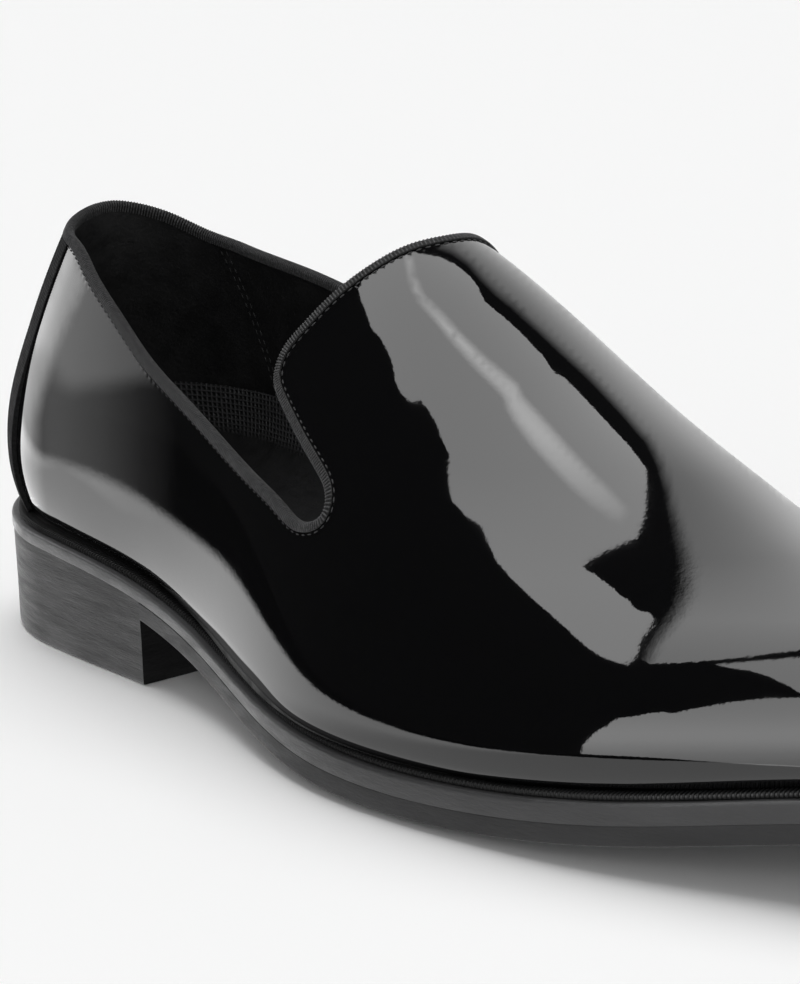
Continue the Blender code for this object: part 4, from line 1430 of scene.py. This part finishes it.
QUARTER_BOX = ((66, 236), (50, 285), (34, 330), (22, 380), (16, 430), (30, 472), (60, 470), (80, 482),
               (100, 498), (120, 514), (150, 525), (185, 520), (205, 470), (190, 400), (168, 372),
               (148, 345), (130, 315), (112, 285), (92, 245))
UPPER_EDGE = ((34, 360), (50, 390), (70, 402), (95, 398), (125, 394), (160, 388))
UPPER_BOX = ((64, 240), (50, 285), (38, 325), *UPPER_EDGE, (140, 340), (122, 305), (104, 272), (88, 242))

# Softboxes: spacing of their points in pixels and their distance from the upper in millimetres
CARD_SPACING = 7.0
CARD_DISTANCE = 60.0
FILL_TOLERANCE = 0.001
INSIDE_ONLY = 1

# The far softbox at the shoe's silhouette: how finely the silhouette is sought, from which facing on the box
# dims, its glow there as a share, and how far it reaches on below
INWARD_STEPS = 400
RIM_HALVINGS = 9
RIM_FACING = 0.4
RIM_GLOW = 0.38
RIM_DROP = 9.0

# Strength of the softboxes by place in the picture
ACROSS = 0
DOWN = 1
VAMP_LIGHT = ((250, 0.82), (470, 0.84), (580, 1.0))
STREAK_LIGHT = ((256, 1.2), (320, 1.75), (436, 1.45), (465, 1.1), (495, 0.7), (520, 0.3))
TOE_LIGHT = ((700, 0.8), (715, 0.87), (732, 1.03), (742, 1.0), (752, 0.74), (764, 0.55))
BACKDROP_LIGHT = ((250, 1.2), (480, 1.25), (560, 1.7), (620, 2.8), (660, 2.4))
BACK_LIGHT = ((240, 1.0), (400, 0.95), (440, 0.75), (465, 0.3), (520, 0.25))
QUARTER_LIGHT = ((30, 0.5), (50, 0.9), (60, 0.9), (100, 0.6), (140, 0.2), (175, 0.0))
SPLINTER_SHARE = 0.78

# Widths in pixels over which the soft edges fade, the far box's by its height in the picture
BACKDROP_FADE = ((400, 11), (500, 14), (560, 24), (600, 26), (640, 18))
STREAK_FADE = 10.0
BACK_FADE = 14.0
QUARTER_FADE = 10.0
UPPER_FADE = 26.0

# Spread in degrees of the two wide lights and where they stand
KEY_SPREAD = 50.0
KEY_PLACE = (-0.4, 0.2, 1.0)
FILL_SPREAD = 40.0
FILL_PLACE = (0.6, -0.7, 0.45)

# The room as the camera sees it, and the floor in metres: its size, where the painted light that mirrors see
# on it changes along the shoe, and the edge past which that painted light fades out
ROOM_PALE = 0.92
FLOOR_REACH = 8.0
FLOOR_LEVEL = -0.0002
FLOOR_CHANGE = (-0.09, 0.0)
MIRROR_GLOW_FACING = (-0.85, -0.53, 0.0)
MIRROR_GLOW_EDGE = 0.35
MIRROR_GLOW_FADE = 0.14
MIRROR_GLOW_END = 0.005


def camera_axes():
    """Right, up and back directions of the camera."""
    azimuth, elevation, roll = np.radians([CAMERA_AZIMUTH, CAMERA_ELEVATION, CAMERA_ROLL])
    level = np.array([np.cos(azimuth), np.sin(azimuth), 0])
    back = np.array([np.sin(azimuth) * np.cos(elevation), -np.cos(azimuth) * np.cos(elevation),
                     np.sin(elevation)])
    steep = np.cross(back, level)
    right = np.cos(roll) * level + np.sin(roll) * steep
    up = -np.sin(roll) * level + np.cos(roll) * steep
    return right, up, back


def camera_eye():
    return np.array(CAMERA_TARGET) + camera_axes()[2] * CAMERA_DISTANCE


def add_camera():
    """Camera at the picture's viewing angle."""
    right, up, back = camera_axes()
    data = bpy.data.cameras.new("camera")
    longest = max(PICTURE_SIZE)
    data.sensor_width = SENSOR
    data.lens = CAMERA_FOCAL * SENSOR / longest
    data.shift_x = (PICTURE_SIZE[0] / 2 - CAMERA_CENTRE[0]) / longest
    data.shift_y = (CAMERA_CENTRE[1] - PICTURE_SIZE[1] / 2) / longest
    data.clip_start = 0.01
    camera = bpy.data.objects.new("camera", data)
    turn = Matrix((right, up, back)).transposed().to_4x4()
    camera.matrix_world = Matrix.Translation(Vector(in_metres(camera_eye())[0])) @ turn
    bpy.context.scene.collection.objects.link(camera)
    bpy.context.scene.camera = camera


class Mirror:
    """The upper's outside as a mirror, for laying out the studio."""

    def __init__(self):
        outside, _, normal = form_shell()
        rows, columns = outside.shape[:2]
        self.points = outside.reshape(-1, 3)
        self.normals = normal.reshape(-1, 3)
        self.faces = grid_faces(rows, columns)
        self.tree = BVHTree.FromPolygons(self.points.tolist(), self.faces)
        self.right, self.up, self.back = camera_axes()
        self.eye = camera_eye()

    def ray(self, pixel):
        """Place on the upper that is seen at a pixel, its normal and the direction of sight."""
        across = (pixel[0] - CAMERA_CENTRE[0]) / CAMERA_FOCAL
        rise = (CAMERA_CENTRE[1] - pixel[1]) / CAMERA_FOCAL
        look = unit(self.right * across + self.up * rise - self.back)
        place, _, face, _ = self.tree.ray_cast(Vector(self.eye), Vector(look))
        if place is None:
            return None
        corners = list(self.faces[face])
        weights = np.array(poly_3d_calc([Vector(self.points[i]) for i in corners], place))
        return np.array(place), unit(weights @ self.normals[corners]), look

    def ahead(self, pixel, inner):
        """Point of a softbox that is mirrored at a pixel, or as near to it as the upper reaches towards an
        inner pixel, and how far the upper faces the camera there."""
        outside = 0.0
        for share in np.linspace(0, 1, INWARD_STEPS):
            seen = self.ray(pixel + (inner - pixel) * share)
            if seen is None:
                outside = share
                continue
            for _ in range(RIM_HALVINGS if share > 0 else 0):
                halfway = (outside + share) / 2
                nearer = self.ray(pixel + (inner - pixel) * halfway)
                if nearer is None:
                    outside = halfway
                else:
                    share = halfway
                    seen = nearer
            place, normal, look = seen
            if share > 0:
                # At the silhouette the card lies straight ahead and reaches on below what can be seen of it
                return place + look * CARD_DISTANCE - normal * RIM_DROP, 0.0
            rise = -np.dot(look, normal)
            return place + (look + 2 * rise * normal) * CARD_DISTANCE, np.clip(rise / RIM_FACING, 0, 1)
        raise ValueError("a card's outline lies off the upper")


def within(pixels, outline):
    """Which places lie inside a closed outline."""
    inside = np.zeros(len(pixels), bool)
    ends = np.roll(outline, -1, 0)
    for (x0, y0), (x1, y1) in zip(outline, ends):
        crosses = (y0 > pixels[:, 1]) != (y1 > pixels[:, 1])
        rise = y1 - y0 if y1 != y0 else 1.0
        inside ^= crosses & (pixels[:, 0] < x0 + (pixels[:, 1] - y0) * (x1 - x0) / rise)
    return inside


def from_outline(pixels, outline):
    """Distance of places from a closed outline."""
    least = np.full(len(pixels), np.inf)
    for start, end in zip(outline, np.roll(outline, -1, 0)):
        run = end - start
        share = np.clip(((pixels - start) @ run) / np.dot(run, run), 0, 1)
        least = np.minimum(least, np.linalg.norm(pixels - start - share[:, None] * run, axis=1))
    return least


def filled(outline):
    """Triangles that fill a closed outline of pixels, with even points inside it."""
    outline = np.array(outline, float)
    rim = []
    for start, end in zip(outline, np.roll(outline, -1, 0)):
        steps = max(int(np.ceil(np.linalg.norm(end - start) / CARD_SPACING)), 1)
        rim += [start + (end - start) * i / steps for i in range(steps)]
    low, high = outline.min(0), outline.max(0)
    x, y = np.meshgrid(np.arange(low[0], high[0], CARD_SPACING), np.arange(low[1], high[1], CARD_SPACING))
    spots = np.stack([x.ravel(), y.ravel()], -1)
    spots = spots[within(spots, outline)]
    spots = spots[from_outline(spots, outline) > CARD_SPACING / 2]
    places = [Vector(spot) for spot in np.concatenate([rim, spots])]
    made = delaunay_2d_cdt(places, [], [list(range(len(rim)))], INSIDE_ONLY, FILL_TOLERANCE)
    return np.array([tuple(place) for place in made[0]]), [list(face) for face in made[2]]


def card_finish(solid):
    """Light of a card, from the glow that is stored on its points."""
    name = "solid card light" if solid else "card light"
    if name in bpy.data.materials:
        return bpy.data.materials[name]
    material = bpy.data.materials.new(name)
    material.use_nodes = True
    tree = material.node_tree
    tree.nodes.clear()
    glow = add_node(tree, "ShaderNodeAttribute", {"attribute_name": "glow"})
    light = add_node(tree, "ShaderNodeEmission")
    result = add_node(tree, "ShaderNodeOutputMaterial")
    tree.links.new(glow.outputs["Fac"], light.inputs["Strength"])
    if solid:
        tree.links.new(light.outputs["Emission"], result.inputs["Surface"])
        return material
    clear = add_node(tree, "ShaderNodeBsdfTransparent")
    both = add_node(tree, "ShaderNodeAddShader")
    tree.links.new(light.outputs["Emission"], both.inputs[0])
    tree.links.new(clear.outputs["BSDF"], both.inputs[1])
    tree.links.new(both.outputs["Shader"], result.inputs["Surface"])
    return material


def add_stage_mesh(name, points, faces, glow, solid):
    """Stage card that only mirrors see."""
    mesh = bpy.data.meshes.new(name)
    mesh.from_pydata(in_metres(points).tolist(), [], faces)
    mesh.materials.append(card_finish(solid))
    mesh.attributes.new("glow", "FLOAT", "POINT").data.foreach_set("value", np.asarray(glow, np.float32))
    card = bpy.data.objects.new(name, mesh)
    bpy.context.scene.collection.objects.link(card)
    card.visible_camera = False
    card.visible_diffuse = False
    card.visible_shadow = False
    card.visible_transmission = False


def add_card(mirror, name, outline, glow, fade=0.0, soft=None, rim=1.0):
    """Softbox whose mirror image has an outline in the picture, soft all round or along a part of it."""
    pixels, faces = filled(outline)
    strength = glow(pixels) if callable(glow) else np.full(len(pixels), glow)
    if callable(fade):
        fade = fade(pixels)
    if np.any(fade):
        edge = outline if soft is None else [*soft, *soft[-2:0:-1]]
        strength = strength * eased(from_outline(pixels, np.array(edge, float)) / fade)
    inner = np.median(pixels, axis=0)
    points, facing = zip(*[mirror.ahead(pixel, inner) for pixel in pixels])
    strength = strength * (rim + (1 - rim) * eased(np.array(facing)))
    add_stage_mesh(name, points, faces, strength, rim < 1)


def streak_outline():
    """Outline of the streak from its middle line and half-widths."""
    line = np.array(STREAK_LINE, float)
    run = unit(np.gradient(line[:, :2], axis=0))
    side = np.stack([-run[:, 1], run[:, 0]], -1) * line[:, 2:]
    return np.concatenate([line[:, :2] + side, (line[:, :2] - side)[::-1]])


def stops(steps, axis, share=1.0):
    """Value that changes across or down the picture, by steps of place and value, times a share."""
    places, values = zip(*steps)
    return lambda pixels: share * np.interp(pixels[:, axis], places, values)


def add_world(stage):
    """Even white light, nearly dark to mirrors and pale to the camera."""
    world = bpy.data.worlds.new("studio")
    bpy.context.scene.world = world
    world.use_nodes = True
    tree = world.node_tree
    tree.nodes.clear()
    path = add_node(tree, "ShaderNodeLightPath")
    room, dark, pale = (
        add_node(tree, "ShaderNodeBackground", None, {"Color": (1, 1, 1, 1), "Strength": strength})
        for strength in (stage.room_light, stage.room_mirror, ROOM_PALE))
    choose = add_node(tree, "ShaderNodeMixShader")
    show = add_node(tree, "ShaderNodeMixShader")
    result = add_node(tree, "ShaderNodeOutputWorld")
    link = tree.links.new
    link(path.outputs["Is Glossy Ray"], choose.inputs["Fac"])
    link(room.outputs["Background"], choose.inputs[1])
    link(dark.outputs["Background"], choose.inputs[2])
    link(path.outputs["Is Camera Ray"], show.inputs["Fac"])
    link(choose.outputs["Shader"], show.inputs[1])
    link(pale.outputs["Background"], show.inputs[2])
    link(show.outputs["Shader"], result.inputs["Surface"])


def add_sun(name, strength, spread, direction):
    """Wide soft light from one direction, which mirrors don't see."""
    data = bpy.data.lights.new(name, "SUN")
    data.energy = strength
    data.angle = np.radians(spread)
    light = bpy.data.objects.new(name, data)
    light.rotation_mode = "QUATERNION"
    light.rotation_quaternion = Vector(direction).to_track_quat("Z", "Y")
    light.visible_glossy = False
    bpy.context.scene.collection.objects.link(light)


def add_floor(stage):
    """Wide pale floor, which mirrors see as glowing with painted light, stronger at the heel than at the toe
    and fading out past an edge.
    """
    mesh = bpy.data.meshes.new("floor")
    square = ((-1, -1), (1, -1), (1, 1), (-1, 1))
    corners = [(x * FLOOR_REACH, y * FLOOR_REACH, FLOOR_LEVEL) for x, y in square]
    mesh.from_pydata(corners, [], [(0, 1, 2, 3)])
    material, tree, shader = new_finish("floor")
    shader.inputs["Base Color"].default_value = stage.floor_colour
    shader.inputs["Roughness"].default_value = 0.9
    shader.inputs["Specular IOR Level"].default_value = 0.1
    place = add_node(tree, "ShaderNodeTexCoord")
    apart = add_node(tree, "ShaderNodeSeparateXYZ")
    spread = add_node(tree, "ShaderNodeMapRange", {"interpolation_type": "SMOOTHSTEP"},
                      {"From Min": FLOOR_CHANGE[0], "From Max": FLOOR_CHANGE[1],
                       "To Min": stage.floor_heel, "To Max": stage.floor_toe})
    across = add_node(tree, "ShaderNodeVectorMath", {"operation": "DOT_PRODUCT"})
    across.inputs[1].default_value = MIRROR_GLOW_FACING
    glow_edge = add_node(tree, "ShaderNodeMapRange", {"interpolation_type": "SMOOTHSTEP"},
                     {"From Min": MIRROR_GLOW_EDGE, "From Max": MIRROR_GLOW_EDGE + MIRROR_GLOW_FADE,
                      "To Min": 1.0, "To Max": MIRROR_GLOW_END})
    shine = add_node(tree, "ShaderNodeMath", {"operation": "MULTIPLY"})
    light = add_node(tree, "ShaderNodeEmission")
    path = add_node(tree, "ShaderNodeLightPath")
    choose = add_node(tree, "ShaderNodeMixShader")
    link = tree.links.new
    link(place.outputs["Object"], apart.inputs["Vector"])
    link(place.outputs["Object"], across.inputs[0])
    link(apart.outputs["X"], spread.inputs["Value"])
    link(across.outputs["Value"], glow_edge.inputs["Value"])
    link(spread.outputs["Result"], shine.inputs[0])
    link(glow_edge.outputs["Result"], shine.inputs[1])
    link(shine.outputs["Value"], light.inputs["Strength"])
    # Mirrors see the floor as painted light, its glow, and not as its lit colour
    link(path.outputs["Is Glossy Ray"], choose.inputs["Fac"])
    link(shader.outputs["BSDF"], choose.inputs[1])
    link(light.outputs["Emission"], choose.inputs[2])
    link(choose.outputs["Shader"], tree.nodes["Material Output"].inputs["Surface"])
    mesh.materials.append(material)
    floor = bpy.data.objects.new("floor", mesh)
    bpy.context.scene.collection.objects.link(floor)


def make_stage():
    """Floor, lights, softboxes and camera."""
    scene = bpy.context.scene
    stage = scene.loafer_stage
    scene.view_settings.view_transform = "Standard"
    add_camera()
    add_world(stage)
    add_floor(stage)
    add_sun("key", stage.key_light, KEY_SPREAD, KEY_PLACE)
    add_sun("fill", stage.fill_light, FILL_SPREAD, FILL_PLACE)
    mirror = Mirror()
    add_card(mirror, "vamp_box", VAMP_BOX, stops(VAMP_LIGHT, DOWN, stage.box_light))
    add_card(mirror, "vamp_streak", streak_outline(), stops(STREAK_LIGHT, DOWN, stage.streak_light),
             STREAK_FADE)
    add_card(mirror, "backdrop", BACKDROP, stops(BACKDROP_LIGHT, DOWN, stage.backdrop_light),
             stops(BACKDROP_FADE, DOWN), BACKDROP_EDGE, RIM_GLOW)
    add_card(mirror, "toe_splinter", TOE_SPLINTER, stage.box_light * SPLINTER_SHARE)
    add_card(mirror, "toe_box", TOE_BOX, stops(TOE_LIGHT, DOWN, stage.box_light))
    add_card(mirror, "back_box", BACK_BOX, stops(BACK_LIGHT, DOWN, stage.back_light), BACK_FADE)
    add_card(mirror, "quarter_box", QUARTER_BOX, stops(QUARTER_LIGHT, ACROSS, stage.quarter_light),
             QUARTER_FADE)
    add_card(mirror, "upper_box", UPPER_BOX, stage.quarter_light, UPPER_FADE, UPPER_EDGE)


# Settings, operators and panel

SHOWN_DIGITS = 6


def length_setting(name, description, size, least, most):
    """A length property with its default and range, in metres."""
    return FloatProperty(name=name, description=description, default=size, min=least, max=most,
                         unit="LENGTH", precision=SHOWN_DIGITS)


def light_setting(name, description, strength, most):
    """A strength property with its default and greatest value."""
    return FloatProperty(name=name, description=description, default=strength, min=0.0, max=most)


def colour_setting(name, description, shade):
    """A colour property with its default."""
    return FloatVectorProperty(name=name, description=description, subtype="COLOR", size=4, min=0.0, max=1.0,
                               default=(*shade, 1.0))


class LoaferSizes(bpy.types.PropertyGroup):
    """Sizes of the fine parts that a user may change."""
    rib_pitch: length_setting("Rib pitch", "Distance between the ribs of the ribbon",
                              0.00064, 0.0003, 0.003)
    rib_radius: length_setting("Rib radius", "Radius of one rib of the ribbon", 0.00017, 0.00005, 0.001)
    stitch_pitch: length_setting("Stitch pitch", "Distance between the stitches of the binding",
                                 0.0020, 0.0008, 0.005)
    thread_radius: length_setting("Thread radius", "Radius of the stitching thread",
                                  0.00014, 0.00005, 0.0005)
    welt_pitch: length_setting("Welt rib pitch", "Distance between the wheeled ribs of the welt",
                               0.0009, 0.0004, 0.004)
    welt_rib_radius: length_setting("Welt rib radius", "Radius of one wheeled rib",
                                    0.00028, 0.00005, 0.001)
    tuck_height: length_setting("Tuck height", "Height over which the upper turns in to the welt",
                                0.0026, 0.0005, 0.008)
    tuck_depth: length_setting("Tuck depth", "How far the upper turns in at the welt",
                               0.0016, 0.0, 0.0018)
    ripple_depth: length_setting("Ripple depth", "Depth of the fine ripple in the lacquer",
                                 0.0000028, 0.0, 0.0005)
    swell_depth: length_setting("Swell depth", "Depth of the slow swell in the leather",
                                0.000014, 0.0, 0.002)
    pucker_depth: length_setting("Pucker depth", "Depth of the dents beside the stitches",
                                 0.00002, 0.0, 0.0005)


class LoaferColours(bpy.types.PropertyGroup):
    """Colours of the finishes."""
    patent: colour_setting("Patent", "Lacquered leather of the upper", (0.0025, 0.0025, 0.0028))
    lining: colour_setting("Lining", "Leather inside the upper", (0.012, 0.012, 0.0125))
    ribbon: colour_setting("Ribbon", "Grosgrain of binding and back strip", (0.040, 0.040, 0.041))
    thread: colour_setting("Thread", "Stitches along the binding", (0.045, 0.045, 0.046))
    welt: colour_setting("Welt", "Strip between upper and sole", (0.0048, 0.0048, 0.005))
    midsole: colour_setting("Midsole edge", "Upper, lighter layer of the sole", (0.075, 0.075, 0.077))
    outsole: colour_setting("Outsole edge", "Lower, darker layer of the sole", (0.044, 0.044, 0.045))
    heel: colour_setting("Heel edge", "Block under the heel seat", (0.026, 0.026, 0.027))
    sock: colour_setting("Sock", "Woven footbed cover", (0.022, 0.022, 0.023))


class LoaferStage(bpy.types.PropertyGroup):
    """Light and floor of the studio."""
    floor_colour: colour_setting("Floor", "Pale studio floor", (0.93, 0.93, 0.93))
    floor_heel: light_setting("Mirrored floor at the heel", "Light of the floor as the heel mirrors it",
                              1.75, 20.0)
    floor_toe: light_setting("Mirrored floor at the toe", "Light of the floor as the toe mirrors it",
                             1.15, 20.0)
    room_light: light_setting("Room light", "Strength of the even white light", 0.3, 5.0)
    room_mirror: light_setting("Mirrored room", "Strength of the room as mirrors see it", 0.02, 5.0)
    key_light: light_setting("Key light", "Strength of the wide light from above", 2.25, 20.0)
    fill_light: light_setting("Fill light", "Strength of the soft light from the front", 0.5, 20.0)
    box_light: light_setting("Softbox light", "Strength of the softboxes over vamp and toe", 3.6, 50.0)
    streak_light: light_setting("Streak light", "Strength of the bright strip over the vamp", 2.2, 50.0)
    backdrop_light: light_setting("Backdrop light", "Strength of the backdrop on the far side",
                                  1.1, 50.0)
    back_light: light_setting("Back light", "Strength of the softbox behind the heel", 1.5, 50.0)
    quarter_light: light_setting("Quarter light", "Strength of the softbox beside the quarter",
                                 0.72, 50.0)


class LOAFER_OT_upper(bpy.types.Operator):
    """Make the patent upper with its lining"""
    bl_idname = "loafer.upper"
    bl_label = "Upper"

    def execute(self, context):
        make_upper()
        return {"FINISHED"}


class LOAFER_OT_binding(bpy.types.Operator):
    """Make the ribbon binding with its ribs and stitches"""
    bl_idname = "loafer.binding"
    bl_label = "Topline Binding"

    def execute(self, context):
        make_binding()
        return {"FINISHED"}


class LOAFER_OT_back_strip(bpy.types.Operator):
    """Make the ribbon strip on the back of the heel"""
    bl_idname = "loafer.back_strip"
    bl_label = "Back Strip"

    def execute(self, context):
        make_back_strip()
        return {"FINISHED"}


class LOAFER_OT_welt(bpy.types.Operator):
    """Make the welt with its wheeled ribs"""
    bl_idname = "loafer.welt"
    bl_label = "Welt"

    def execute(self, context):
        make_welt()
        return {"FINISHED"}


class LOAFER_OT_sole(bpy.types.Operator):
    """Make the sole layers and the heel block"""
    bl_idname = "loafer.sole"
    bl_label = "Sole and Heel"

    def execute(self, context):
        make_sole()
        return {"FINISHED"}


class LOAFER_OT_insole(bpy.types.Operator):
    """Make the footbed with its woven sock"""
    bl_idname = "loafer.insole"
    bl_label = "Insole"

    def execute(self, context):
        make_insole()
        return {"FINISHED"}


class LOAFER_OT_lining_seam(bpy.types.Operator):
    """Make the stitches of the lining"""
    bl_idname = "loafer.lining_seam"
    bl_label = "Lining Seam"

    def execute(self, context):
        make_lining_seam()
        return {"FINISHED"}


class LOAFER_OT_stage(bpy.types.Operator):
    """Make the floor, the studio light and the camera"""
    bl_idname = "loafer.stage"
    bl_label = "Studio Stage"

    def execute(self, context):
        make_stage()
        return {"FINISHED"}


OPERATORS = (LOAFER_OT_upper, LOAFER_OT_binding, LOAFER_OT_back_strip, LOAFER_OT_welt, LOAFER_OT_sole,
             LOAFER_OT_insole, LOAFER_OT_lining_seam, LOAFER_OT_stage)
SETTINGS = {"loafer_sizes": LoaferSizes, "loafer_colours": LoaferColours, "loafer_stage": LoaferStage}


class LOAFER_PT_panel(bpy.types.Panel):
    """Lists the loafer's pieces and settings"""
    bl_idname = "LOAFER_PT_panel"
    bl_label = "Venetian Loafer"
    bl_space_type = "VIEW_3D"
    bl_region_type = "UI"
    bl_category = "Loafer"

    def draw(self, context):
        for operator in OPERATORS:
            self.layout.operator(operator.bl_idname)
        for name in SETTINGS:
            group = getattr(context.scene, name)
            box = self.layout.box()
            for key in group.bl_rna.properties.keys():
                if key not in ("rna_type", "name"):
                    box.prop(group, key)


CLASSES = (*SETTINGS.values(), *OPERATORS, LOAFER_PT_panel)


def register():
    for each in CLASSES:
        bpy.utils.register_class(each)
    for name, group in SETTINGS.items():
        setattr(bpy.types.Scene, name, PointerProperty(type=group))


def unregister():
    for name in SETTINGS:
        delattr(bpy.types.Scene, name)
    for each in reversed(CLASSES):
        bpy.utils.unregister_class(each)


def main():
    """Registers the add-on and makes the pieces in order."""
    register()
    for operator in OPERATORS:
        group, name = operator.bl_idname.split(".")
        getattr(getattr(bpy.ops, group), name)()


if __name__ == "__main__":
    main()
